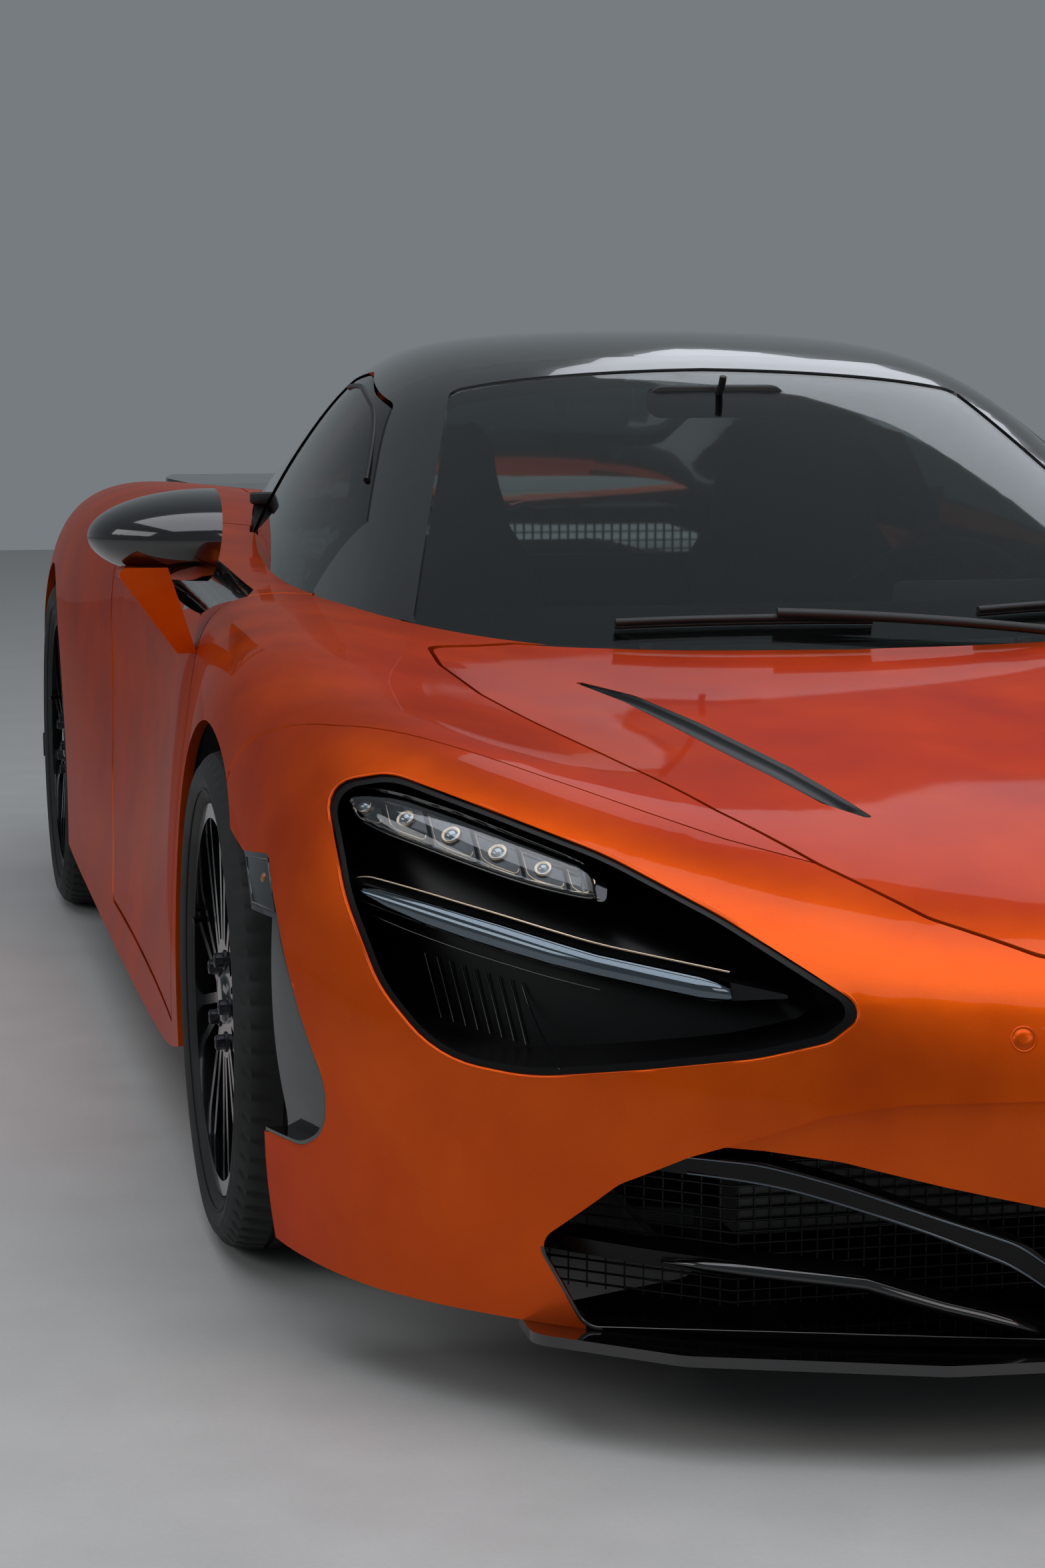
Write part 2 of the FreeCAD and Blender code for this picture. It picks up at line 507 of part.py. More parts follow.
louvre_rows = [int(REAR) - 40 + k * LOUVRE_STEP for k in range(LOUVRE_COUNT)]
louvres = [box(x, x + LOUVRE_LENGTH, y, y + LOUVRE_WIDTH, 700, 1000) for x in (-430, 240) for y in louvre_rows]
deck = rest.common(deck_tool).common(box(-900, 900, 300, wing_front, 0, 1400)).cut(Part.makeCompound(louvres))
keep("engine_deck", biggest(deck.cut(deck_seam)))
keep("rear_wing", rear_wing)
mouth_ring = plan_prism(outset(MOUTH_EDGE, 5))
mouth_room = skin_solid(BODY, -20, 70).common(mouth_tool)
mouth_lining = skin_solid(BODY, SKIN, 76).common(mouth_ring).cut(mouth_room).cut(door_hole)
keep("intake_ducts", Part.makeCompound(duct.Solids + sided(biggest(mouth_lining)).Solids))

# Doors with their shoulder channel, mirror stalk and hinge arms.
door_depth = size("door_thickness")
door = biggest(skin_solid(BODY, 0, door_depth).common(door_tool).cut(under_glass).cut(arches))
glass_tool = side_prism(GLASS_EDGE, 300, 1000).cut(hinge_cone(0))
glass_reach = [(p[0], p[1] - (120 if p[1] < 800 else 0), p[2]) for p in GLASS_EDGE]
glass_zone = side_prism(glass_reach, 300, 1000).cut(hinge_cone(0))
door = door.cut(clear_of_canopy.cut(glass_zone))
door = door.cut(channel_tool.common(skin_solid(BODY, -20, door_depth - 16)))
stalk = front_prism(STALK_EDGE, -560, -505)
door_glass = biggest(glazing.common(glass_tool).cut(below(BODY, 60, 600, BODY_COLUMNS)))
GOOSENECK = ((0, 0), (-126, 48), (-126, 198), (50, 300))
arms = []
lugs = []
for height in HINGE_HEIGHTS:
    hook = ribbon(GOOSENECK, 18).extrude(V(0, 0, 30)).fuse(Part.makeCylinder(16, 30, V(0, 0, 0)))
    hook.translate(V(0, 0, 30))
    hook = hook.cut(Part.makeCylinder(PIN + 0.1, 90, V(0, 0, 0)))
    arms.append(hinge_frame(hook, height))
    plate = Part.makeBox(190, 28, 20, V(-176, -14, 0)).cut(Part.makeCylinder(22, 30, V(-30, 60, 0)))
    lug = merged([plate, plate.translated(V(0, 0, 70)), Part.makeCylinder(PIN, 90, V(0, 0, 0))])
    lugs.append(hinge_frame(lug, height))
door = merged([biggest(door), stalk] + [a.cut(skin_solid(BODY, -60, 30)) for a in arms])
MIRROR_AT = V(850, -452, 892)
MIRROR_REACH = V(size("mirror_half_width") - MIRROR_AT.x, 150, 70)
stretch = FreeCAD.Matrix(MIRROR_REACH.x, 0, 0, 0, 0, MIRROR_REACH.y, 0, 0, 0, 0, MIRROR_REACH.z, 0, 0, 0, 0, 1)
mirror = Part.makeSphere(1).transformGeometry(stretch)
mirror.translate(MIRROR_AT)
mirror = mirror.common(front_prism(MIRROR_INNER, -700, MIRROR_AT.y)).cut(stalk)
for label, shape in (("door", biggest(door)), ("mirror", mirror), ("door_glass", door_glass)):
    keep(f"{label}_left", shape)
    keep(f"{label}_right", mirrored(shape))

# Windscreen, its black surround, the roof and the rear canopy.
screen_tool = plan_prism(both(WINDSCREEN_EDGE))
above_body = canopy_thick.cut(under_body)
side_glass_hole = side_prism(outset(GLASS_EDGE, DOOR_GAP), 300, 1000).cut(hinge_room)
side_holes = side_glass_hole.fuse(mirrored(side_glass_hole))
surround = above_body.common(plan_prism(both(PILLAR_EDGE))).cut(screen_tool).cut(side_holes)
keep("screen_surround", biggest(surround))
keep("windscreen", biggest(glazing.cut(below(BODY, 8, 600, BODY_COLUMNS)).common(screen_tool)))
keep("roof_panel", biggest(above_body.common(box(-900, 900, -118, 470, 0, 1400)).cut(side_holes)))
rear_hole = plan_prism(((-300, 560, 60), (300, 560, 60), (300, 1230, 60), (-300, 1230, 60)))
rear_canopy = above_body.common(box(-900, 900, 470, 1520, 0, 1400)).cut(rear_hole).cut(side_holes)
keep("rear_canopy", biggest(rear_canopy))
keep("rear_glass", biggest(glazing.common(rear_hole)))

# Chassis tub with floor, sills, bulkheads, front box, end frames and hinge posts.
floor_z = size("floor_height")
beam = size("frame_beam")
rail = size("frame_half_width")
half_tub = size("tub_half_width")
wall = size("bulkhead_thickness")
cabin_front, cabin_rear = FRONT + 330, FRONT + 1700
sill_top = floor_z + size("sill_height")
sill_out = half_tub + size("sill_width")
floor_top = floor_z + size("floor_thickness")
rear_start = cabin_rear + wall
JACK_X, JACK_Y = half_tub + size("sill_width") / 2 - 2.5, (FRONT + 586.5, FRONT + 1666.5)
JACK_RADIUS, JACK_Z = 45, 106
post = box(610, 716, FRONT + 410, FRONT + 470, floor_z, 752)
tub_parts = [
    box(-half_tub, half_tub, cabin_front, rear_start, floor_z, floor_top),
    box(half_tub, sill_out, FRONT + 440, rear_start, floor_z, sill_top),
    box(-half_tub, -sill_out, FRONT + 440, rear_start, floor_z, sill_top),
    box(-520, 520, cabin_front, cabin_front + wall, floor_z, 640),
    box(-660, 660, cabin_front + wall - 10, FRONT + 425, floor_z, 620),
    box(-560, 560, cabin_rear, rear_start, floor_z, 790),
    box(rail, rail + beam, NOSE + 330, cabin_front, 210, 210 + beam),
    box(-rail, -rail - beam, NOSE + 330, cabin_front, 210, 210 + beam),
    box(-470, 470, NOSE + 260, NOSE + 330, 210, 288),
    box(rail, rail + beam, rear_start, TAIL - 330, 210, 210 + beam),
    box(-rail, -rail - beam, rear_start, TAIL - 330, 210, 210 + beam),
    box(-520, 520, TAIL - 400, TAIL - 330, 210, 300),
    box(-rail, rail, REAR - 60, REAR + 60, 210, 240),
    post, mirrored(post),
]
for side in (-1, 1):
    bracket = box(side * 298, side * 312, cabin_front - 60, cabin_front + 12, 560, 760)
    pin = barrel(side * 276, side * 312, BONNET_PIVOT.y, BONNET_PIVOT.z, PIN)
    tub_parts.append(bracket.fuse(pin))
for x in (-JACK_X, JACK_X):
    for y in JACK_Y:
        tub_parts.append(Part.makeCylinder(JACK_RADIUS, floor_z - JACK_Z, V(x, y, JACK_Z)))
boot = box(-rail, rail, NOSE + 430, cabin_front, 250, 560)
boot = boot.cut(box(-rail + 12, rail - 12, NOSE + 442, cabin_front - 12, 262, 700))
tub = merged(tub_parts + [boot] + lugs + [mirrored(lug) for lug in lugs])
keep("tub", tub)

# Cowl panel between the bonnet's rear edge and the foot of the windscreen, slotted for the bonnet's arms.
COWL_EDGE = ((0, -1012, 0), (480, -1000, 20), (545, -985, 10), (545, -940, 10), (500, -925, 6), (500, -826, 6),
             (0, -826, 0))
cowl_top = skin_solid(BODY, -100, SKIN + 9)
cowl = skin_solid(BODY, SKIN + 8, SKIN + 11).common(plan_prism(both(COWL_EDGE)))
cowl = cowl.cut([box(side * 272, side * 302, -1100, -880, 600, 900) for side in (-1, 1)])
cowl_legs = [box(x - 30, x + 30, -850, -840, 640, 800).cut(cowl_top) for x in (-415, 415)]
keep("cowl", biggest(merged([cowl] + cowl_legs).cut(tub)))

# Wheels: tyre, rim with spokes, and brake disc, each turned about X at its own hub.
HUBS = []
for end, y, tyre_radius in (("front", FRONT, tyre_f), ("rear", REAR, tyre_r)):
    for hand, side in (("left", 1), ("right", -1)):
        hub = V(side * size(f"track_{end}") / 2, y, tyre_radius)
        HUBS.append((f"{end}_{hand}", hub, side, size(f"tyre_{end}_width"), size(f"rim_{end}_radius")))
KINGPIN = 765
ARM_LOW, ARM_HIGH = -128, 128
BEAD_INSET = size("bead_inset")
DISC_BACK = size("disc_back")
BELL = size("bell_depth")
SPOKE_ROOT, SPOKE_TIP, SPOKE_HALF = 9, 26, 7
BORE = "Sizes.spindle_radius + Sizes.bore_clearance"


def turned(profile, hub):
    """A ring swept about the hub's X axis from a profile of x and radius."""
    wire = Part.makePolygon([V(hub.x + x, hub.y, hub.z + r) for x, r in profile + (profile[0],)])
    return Part.Face(wire).revolve(hub, V(1, 0, 0), 360)


def turned_body(label, hub, corners):
    """A body turned about its hub's X axis; each corner gives its x and radius as rules of the sizes."""
    body = doc.addObject("PartDesign::Body", label)
    sketch = body.newObject("Sketcher::SketchObject", f"{label}_profile")
    sketch.AttachmentSupport = [(next(f for f in body.Origin.OriginFeatures if f.Role == "XY_Plane"), "")]
    sketch.MapMode = "FlatFace"
    places = [V(sheet.evalExpression(x), sheet.evalExpression(r), 0) for x, r in corners]
    last = len(corners) - 1
    for k, place in enumerate(places):
        sketch.addGeometry(Part.LineSegment(place, places[k + 1 if k < last else 0]))
    for k, rules in enumerate(corners):
        sketch.addConstraint(Sketcher.Constraint("Coincident", k - 1 if k else last, 2, k, 1))
        for kind, value, rule in zip(("DistanceX", "DistanceY"), places[k], rules):
            number = sketch.addConstraint(Sketcher.Constraint(kind, -1, 1, k, 1, value))
            sketch.setExpression(f"Constraints[{number}]", rule)
    wheel = body.newObject("PartDesign::Revolution", f"{label}_turn")
    wheel.Profile = sketch
    wheel.ReferenceAxis = (sketch, ["H_Axis"])
    wheel.Angle = 360
    body.Placement.Base = hub
    return body


def tyre(label, hub, end):
    """A tyre's outer form, bead to bead; end is front or rear."""
    half, radius = f"Sizes.tyre_{end}_width / 2", f"Sizes.tyre_{end}_radius"
    bead = f"({half} - Sizes.bead_inset)"
    seat = f"Sizes.rim_{end}_radius"
    lip = f"{seat} + Sizes.rim_lip"
    widest = f"({radius} + {seat}) / 2 + 8"
    outer = ((f"{half} - Sizes.tyre_shoulder", radius), (half, widest), (bead, lip), (bead, seat))
    return turned_body(label, hub, [(f"-({x})", r) for x, r in reversed(outer)] + list(outer))


def rim(hub, side, radius, width):
    """A rim with its spokes on the outer side; side is 1 on the left."""
    bead = width / 2 - BEAD_INSET
    wall_in = radius - size("rim_wall")
    lip = radius + size("rim_lip")
    ring = turned(((-bead - 7, wall_in), (-bead - 7, lip), (-bead, lip), (-bead, radius), (bead, radius),
                   (bead, lip), (bead + 7, lip), (bead + 7, wall_in)), hub)
    face = side * (bead - 4)
    inner = side * (bead - DISC_BACK)
    pieces = [ring, barrel(hub.x + inner, hub.x + face, hub.y, hub.z, size("hub_radius"))]
    count = int(size("spoke_count"))
    for k in range(count):
        for lean in (-1, 1):
            root, tip = SPOKE_ROOT * lean, SPOKE_TIP * lean
            corners = ((root - SPOKE_HALF, 60), (root + SPOKE_HALF, 60), (tip + SPOKE_HALF, radius - 4),
                       (tip - SPOKE_HALF, radius - 4))
            blade = [V(hub.x + inner, hub.y + y, hub.z + z) for y, z in corners]
            spoke = Part.Face(Part.makePolygon(blade + [blade[0]])).extrude(V(face - inner, 0, 0))
            spoke.rotate(hub, V(1, 0, 0), 360.0 * k / count)
            pieces.append(spoke)
    bore_radius = size("spindle_radius") + size("bore_clearance")
    bore = barrel(hub.x + inner - side * 5, hub.x + side * (bead - 20), hub.y, hub.z, bore_radius)
    return pieces[0].multiFuse(pieces[1:]).cut(bore)


def disc(label, hub, side, end):
    """A brake disc with its bell, just inboard of the spokes."""
    outer = f"(Sizes.tyre_{end}_width / 2 - Sizes.bead_inset - Sizes.disc_back)"
    inner = f"({outer} - Sizes.bell_depth)"
    back = f"({inner} - Sizes.disc_thickness)"
    hat, rubbed = "Sizes.hub_radius", "Sizes.disc_radius"
    corners = ((outer, BORE), (outer, hat), (inner, hat), (inner, rubbed), (back, rubbed), (back, BORE))
    return turned_body(label, hub, [(f"{side} * {x}", r) for x, r in corners])


def upright(hub, side, width):
    """The carrier that holds a hub, with its spindle and ball pins, and the brake caliper on it."""
    bead = width / 2 - BEAD_INSET
    disc_out = side * (bead - DISC_BACK - BELL)
    disc_in = disc_out - side * size("disc_thickness")
    pin_x = side * KINGPIN
    limb = box(pin_x - side * 24, pin_x + side * 24, hub.y - 40, hub.y + 40, hub.z - 110, hub.z + 110)
    spindle = barrel(pin_x, hub.x + side * (bead - 24), hub.y, hub.z, size("spindle_radius"))
    boss = barrel(pin_x - side * 24, hub.x + disc_in - side * 8, hub.y, hub.z, 55)
    pin = Part.makeCylinder(12, 300, V(pin_x, hub.y, hub.z - 150), V(0, 0, 1))
    caliper_in, caliper_out = hub.x + disc_in - side * 34, hub.x + disc_out + side * 20
    caliper = box(caliper_in, caliper_out, hub.y + 105, hub.y + 196, hub.z - 66, hub.z + 66)
    slot_in, slot_out = hub.x + disc_in - side * 6, hub.x + disc_out + side * 6
    disc_room = barrel(slot_in, slot_out, hub.y, hub.z, size("disc_radius") + 6)
    caliper = caliper.cut(disc_room)
    arm_end = hub.x + disc_in - side * 10
    bracket = box(pin_x - side * 24, arm_end, hub.y + 20, hub.y + 150, hub.z - 25, hub.z + 25)
    return limb.multiFuse([spindle, boss, pin, bracket, caliper])


def wishbones(hub, side):
    """Upper and lower wishbones and the lug that carries them, from the frame rail to the ball pins."""
    pin = V(side * KINGPIN, hub.y, 0)
    root = side * (rail + beam)
    pieces = []
    for height, thick in ((hub.z + ARM_LOW, 22), (hub.z + ARM_HIGH, 20)):
        plan = ((pin.x, 22), (side * 640, 24), (root, 150), (root, 100), (side * 600, 0), (root, -100),
                (root, -150), (side * 640, -24), (pin.x, -22))
        points = [V(x, hub.y + y, height - thick / 2) for x, y in plan]
        flat = Part.Face(Part.makePolygon(points + [points[0]])).extrude(V(0, 0, thick))
        eye = Part.makeCylinder(24, thick, V(pin.x, pin.y, height - thick / 2))
        pieces.append(flat.fuse(eye).cut(Part.makeCylinder(12.3, 60, V(pin.x, pin.y, height - 30))))
    low = box(root, root - side * 40, hub.y - 160, hub.y + 160, hub.z + ARM_LOW - 14, 210)
    high = box(root, root - side * 40, hub.y - 160, hub.y + 160, 210 + beam, hub.z + ARM_HIGH + 20)
    return merged(pieces + [low, high, box(root, root + side * 8, hub.y - 160, hub.y + 160,
                                           hub.z + ARM_LOW - 14, hub.z + ARM_HIGH + 20)])


def liner(hub, radius, x0, x1, low, extra=()):
    """A wheel-arch liner just inside the outer panels; extra is an opening that runs on ahead of the wheel."""
    thick = size("liner_thickness")
    outer = barrel(x0, x1, hub.y, hub.z, radius + thick)
    inner = barrel(x0 - 1, x1 + 1, hub.y, hub.z, radius)
    if extra:
        outer = outer.fuse(side_prism(outset(extra, thick), x0, x1))
        inner = inner.fuse(side_prism(extra, x0 - 1, x1 + 1))
    span = radius + 250
    ahead = box(0, 1100, hub.y - span, hub.y, low, 900)
    behind = box(0, 1100, hub.y, hub.y + span, 270, 900)
    ring = outer.cut(inner).common(ahead.fuse(behind))
    return biggest(ring.cut([beyond_skin, bonnet_hole, bowl, vent, marker, tub]))


beyond_skin = skin_solid(BODY, -60, SKIN)
links, rear_uprights = [], []
for name, hub, side, width, rim_radius in HUBS:
    end = name.split("_")[0]
    node(f"tyre_{name}", tyre(f"tyre_{name}", hub, end))
    keep(f"rim_{name}", rim(hub, side, rim_radius, width))
    node(f"disc_{name}", disc(f"disc_{name}", hub, side, end))
    carrier = upright(hub, side, width)
    links.append(wishbones(hub, side))
    if name.startswith("front"):
        keep(f"knuckle_{name[6:]}", carrier)
    else:
        rear_uprights.append(carrier)
keep("suspension_arms", Part.makeCompound(links))
keep("rear_uprights", Part.makeCompound(rear_uprights))
front_liner = liner(HUBS[0][1], arch_f + 17, 560, 950, 150, ARCH_FRONT_EDGE)
rear_liner = liner(HUBS[2][1], arch_r - size("liner_thickness"), 600, 955, 270)
keep("arch_liners", Part.makeCompound(sided(front_liner).Solids + sided(rear_liner).Solids))

# Cabin: dashboard, console, steering wheel and seats.
dash_front = cabin_front + wall
dash_line = ((dash_front, 520), (dash_front, 742), (-640, 786, 30), (-520, 756, 30), (-480, 640, 40),
             (-560, 500, 30))
dash = side_prism(dash_line, -590, 590).cut(box(-700, 700, -900, FRONT + 425, 100, 620))
console = side_prism(((FRONT + 425, floor_top, 0), (FRONT + 425, 520, 0), (-560, 500, 0), (-480, 560, 40),
                      (-200, 430, 60), (430, 400, 20), (430, floor_top, 0)), -96, 96)
WHEEL_AT = V(size("seat_offset"), -330, 690)
COLUMN = V(0, 0.906, 0.423).normalize()
ring = Part.makeTorus(size("steering_wheel_radius"), size("steering_rim"), WHEEL_AT, COLUMN)
spokes = [Part.makeCylinder(50, 40, WHEEL_AT - COLUMN * 45, COLUMN)]
for angle in (0, 180, 270):
    bar = Part.makeBox(150, 26, 12, V(30, -13, -16))
    bar.rotate(V(0, 0, 0), V(0, 0, 1), angle)
    bar.Placement = FreeCAD.Placement(WHEEL_AT, FreeCAD.Rotation(V(0, 0, 1), COLUMN)).multiply(bar.Placement)
    spokes.append(bar)
keep("steering_wheel", ring.multiFuse(spokes))
column = Part.makeCylinder(32, 160, WHEEL_AT - COLUMN * 205.3, COLUMN)
keep("dashboard", merged([dash, console, column]))
offset = size("seat_offset")
half_seat = size("seat_width") / 2
seat = side_prism(SEAT_SIDE, -half_seat, half_seat).common(front_prism(SEAT_FRONT, -200, 700))
seat.translate(V(offset, 0, 0))
seat = seat.cut(box(-100, 1200, cabin_rear - 0.3, 2000, 0, 1400)).cut(box(0, 1000, -400, 900, 0, floor_top))
keep("seats", sided(seat))

# Engine block, tail, floor and splitter.
engine = doc.addObject("Part::Box", "engine_block")
engine.setExpression("Length", "Sizes.engine_width")
engine.setExpression("Width", "Sizes.engine_length")
engine.setExpression("Height", "Sizes.engine_height")
engine.Placement.Base = V(-size("engine_width") / 2, rear_start + 120, 280)
node("engine_block", engine)
end_y = BODY_ROWS[-1][1] + REAR
rear_end = surface(BODY).uIso(surface(BODY).bounds()[1]).toShape()
ends = [v.Point for v in rear_end.Vertexes]
rear_face = Part.Face(Part.Wire([rear_end, Part.makeLine(ends[1], ends[0])]))
fascia = rear_face.extrude(V(0, 24, 0)).cut(wing_bed.common(box(-700, 700, 1500, 3000, 826, 1000)))
mesh_tool = front_prism(TAIL_MESH_EDGE, end_y - 50, end_y + 50)
lamp_slot = front_prism(TAIL_LAMP_EDGE, end_y - 50, end_y + 50)
for x in (-size("exhaust_offset"), size("exhaust_offset")):
    hole_start = V(x, TAIL - 300, size("exhaust_height"))
    fascia = fascia.cut(Part.makeCylinder(size("exhaust_radius"), 400, hole_start, V(0, 1, 0)))
fascia = fascia.cut(mesh_tool).cut(mirrored(mesh_tool)).cut(lamp_slot).cut(mirrored(lamp_slot))
lamp = lamp_slot.common(box(0, 1000, end_y + 4, end_y + 28, 0, 1000))
keep("tail_lamps", sided(lamp))
bars = [box(x, x + 4, end_y + 6, end_y + 14, 400, 800) for x in range(150, 760, 22)]
bars += [box(140, 770, end_y + 8, end_y + 16, z, z + 4) for z in range(446, 750, 22)]
mesh = merged(bars).common(front_prism(TAIL_MESH_EDGE, end_y, end_y + 30))
tray_start, tray_end = wing_front + 20, end_y + 10
tray_edge = ((-560, tray_start, 60), (560, tray_start, 60), (560, tray_end, 0), (-560, tray_end, 0))
tray = plan_prism(tray_edge, 0, WING_TRAY - 10, WING_TRAY)
keep("rear_fascia", merged([biggest(fascia), tray, biggest(mesh), mirrored(biggest(mesh))]))
tips = []
for name, x in (("left", "Sizes.exhaust_offset"), ("right", "-Sizes.exhaust_offset")):
    pipe, bore = (doc.addObject("Part::Cylinder", f"exhaust_{part}_{name}") for part in ("pipe", "bore"))
    pipe.setExpression("Radius", "Sizes.exhaust_radius")
    pipe.setExpression("Height", "Sizes.exhaust_length")
    bore.setExpression("Radius", "Sizes.exhaust_radius - Sizes.exhaust_wall")
    bore.setExpression("Height", "Sizes.exhaust_length")
    for tube, start in ((pipe, "0"), (bore, "Sizes.exhaust_floor")):
        tube.Placement.Rotation = FreeCAD.Rotation(V(1, 0, 0), -90)
        tube.setExpression("Placement.Base.x", x)
        tube.setExpression("Placement.Base.y", f"Sizes.length_overall / 2 - 190 + {start}")
        tube.setExpression("Placement.Base.z", "Sizes.exhaust_height")
    tip = doc.addObject("Part::Cut", f"exhaust_tip_{name}")
    tip.Base, tip.Tool = pipe, bore
    tips.append(tip)
exhausts = doc.addObject("Part::MultiFuse", "exhaust_tips")
exhausts.Shapes = tips
node("exhaust_tips", exhausts)
DIFFUSER_LINE = ((rear_start, 106), (end_y - 480, 106), (end_y, 330), (end_y + 24, 338))
DIFFUSER_SHEET = 12
diffuser_edge = list(DIFFUSER_LINE) + [(y, z + DIFFUSER_SHEET) for y, z in reversed(DIFFUSER_LINE)]
diffuser = side_prism(diffuser_edge, -560, 560)
FIN_EDGE = ((end_y - 420, 134), (end_y + 20, 338), (end_y + 20, 190, 20), (end_y - 40, 150, 30))
fins = [side_prism(FIN_EDGE, x, x + 8) for x in (-420, -254, -88, 80, 246, 412)]
keep("diffuser", merged([diffuser] + fins))
SPLITTER_END = cabin_front - 1
SPLITTER_EDGE = ((0, NOSE + 24, 0), (300, NOSE + 48, 60), (560, NOSE + 140, 60), (700, NOSE + 250, 40),
                 (700, NOSE + 330, 20), (470, NOSE + 420, 40), (470, SPLITTER_END, 0), (0, SPLITTER_END, 0))
splitter = plan_prism(both(SPLITTER_EDGE), 0, SHELF - 12, SHELF)
keep("splitter", splitter)

doc.recompute()
states = {made.Label: made.State for made in doc.Objects}
faults = [name for name, state in states.items() if "Invalid" in state or "Error" in state]
faults += [made.Label for made in NODES if made.Shape.isNull() or not made.Shape.isValid()]
if faults:
    raise RuntimeError(f"faulty sub-parts: {faults}")
os.makedirs("parts", exist_ok=True)
for made in NODES:
    made.Shape.exportStep(f"parts/{made.Label}.step")
    print(made.Label, len(made.Shape.Solids), round(made.Shape.Volume / 1e6, 2))
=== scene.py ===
import bpy
import bmesh
import math
from mathutils import Matrix, Vector


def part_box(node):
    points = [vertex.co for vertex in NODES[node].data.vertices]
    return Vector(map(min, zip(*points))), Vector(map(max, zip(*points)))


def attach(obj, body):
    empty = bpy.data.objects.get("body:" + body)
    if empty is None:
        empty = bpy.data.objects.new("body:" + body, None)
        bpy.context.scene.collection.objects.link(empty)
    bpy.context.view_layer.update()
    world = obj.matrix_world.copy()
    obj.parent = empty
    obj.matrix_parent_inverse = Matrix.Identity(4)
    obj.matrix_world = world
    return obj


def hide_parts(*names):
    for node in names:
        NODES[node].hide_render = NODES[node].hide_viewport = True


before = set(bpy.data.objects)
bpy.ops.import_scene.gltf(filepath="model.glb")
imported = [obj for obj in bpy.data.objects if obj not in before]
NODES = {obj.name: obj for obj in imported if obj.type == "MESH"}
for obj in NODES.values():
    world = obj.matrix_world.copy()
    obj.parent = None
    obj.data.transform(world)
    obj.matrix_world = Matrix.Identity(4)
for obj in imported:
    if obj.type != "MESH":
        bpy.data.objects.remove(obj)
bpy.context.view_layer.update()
scene = bpy.context.scene
MM = 0.001
SIDES = (("left", 1), ("right", -1))

# Axles, in metres: how far out the wheels stand, the axle line, the tyre's radius and width, the rim's radius.
AXLES = (("front", 0.830, -1.1865, 0.327, 0.245, 0.246), ("rear", 0.808, 1.4835, 0.345, 0.300, 0.260))
WHEELS = {}
for axle, out, y, radius, width, rim in AXLES:
    for name, side in SIDES:
        at = Vector((side * out, y, radius))
        WHEELS[f"{axle}_{name}"] = dict(at=at, side=side, radius=radius, width=width, rim=rim)


def linear(code):
    """sRGB hex to linear RGBA."""
    parts = [int(code[k:k + 2], 16) / 255 for k in (1, 3, 5)]
    return tuple(c / 12.92 if c <= 0.04045 else ((c + 0.055) / 1.055) ** 2.4 for c in parts) + (1.0,)


def add(tree, kind, inputs=(), **settings):
    """Adds a shader node with its settings; inputs pair each input with a socket or a plain value."""
    made = tree.nodes.new(kind)
    for key, value in settings.items():
        setattr(made, key, value)
    for target, given in inputs:
        if isinstance(given, bpy.types.NodeSocket):
            tree.links.new(given, made.inputs[target])
        else:
            made.inputs[target].default_value = given
    return made


def material(name, colour, rough, metallic=0.0, scale_mm=2.0, vary=0.15, bump=0.1, coat=0.0, coat_rough=0.03,
             rough_vary=0.12, second=None, stretch=(1, 1, 1), **sockets):
    """A principled material whose colour, roughness and bump come from noise of a real size.

    scale_mm is the size of its grain and vary the share by which the grain darkens and lightens the colour.
    """
    made = bpy.data.materials.new(name)
    made.use_nodes = True
    tree = made.node_tree
    shader = tree.nodes["Principled BSDF"]
    sockets.update(Metallic=metallic, Coat_Weight=coat, Coat_Roughness=coat_rough)
    for key, value in sockets.items():
        shader.inputs[key.replace("_", " ")].default_value = value
    coords = add(tree, "ShaderNodeTexCoord").outputs["Object"]
    place = add(tree, "ShaderNodeMapping", [("Vector", coords), ("Scale", stretch)])
    fine = add(tree, "ShaderNodeTexNoise", [("Vector", place.outputs[0]), ("Scale", 1000 / scale_mm),
                                            ("Detail", 4.0), ("Roughness", 0.6)])
    broad = add(tree, "ShaderNodeTexNoise", [("Vector", coords), ("Scale", 6.0), ("Detail", 3.0),
                                             ("Roughness", 0.55)])
    base = linear(colour)
    dark = tuple(c * (1 - vary) for c in base[:3]) + (1,)
    light = linear(second) if second else tuple(min(1, c * (1 + vary)) for c in base[:3]) + (1,)
    both = add(tree, "ShaderNodeMath", [(0, fine.outputs["Fac"]), (1, broad.outputs["Fac"])], operation="ADD")
    ramp = add(tree, "ShaderNodeMapRange", [("Value", both.outputs[0]), ("From Min", 0.7), ("From Max", 1.3)])
    mix = add(tree, "ShaderNodeMix", [("Factor", ramp.outputs[0]), (6, dark), (7, light)], data_type="RGBA")
    tree.links.new(mix.outputs[2], shader.inputs["Base Color"])
    rough_map = add(tree, "ShaderNodeMapRange", [
        ("Value", broad.outputs["Fac"]), ("From Min", 0.3), ("From Max", 0.7),
        ("To Min", max(0.01, rough * (1 - rough_vary))), ("To Max", min(1, rough * (1 + rough_vary)))])
    tree.links.new(rough_map.outputs[0], shader.inputs["Roughness"])
    if bump:
        lift = add(tree, "ShaderNodeBump", [("Height", fine.outputs["Fac"]), ("Strength", bump),
                                            ("Distance", scale_mm * 0.0004)])
        tree.links.new(lift.outputs[0], shader.inputs["Normal"])
    return made


def recolour(made, mask, colour):
    """Turns the part of a material where a mask is 1 to another colour."""
    tree = made.node_tree
    target = tree.nodes["Principled BSDF"].inputs["Base Color"]
    before = target.links[0].from_socket
    mix = add(tree, "ShaderNodeMix", [("Factor", mask), (6, before), (7, linear(colour))], data_type="RGBA")
    tree.links.new(mix.outputs[2], target)
    return made


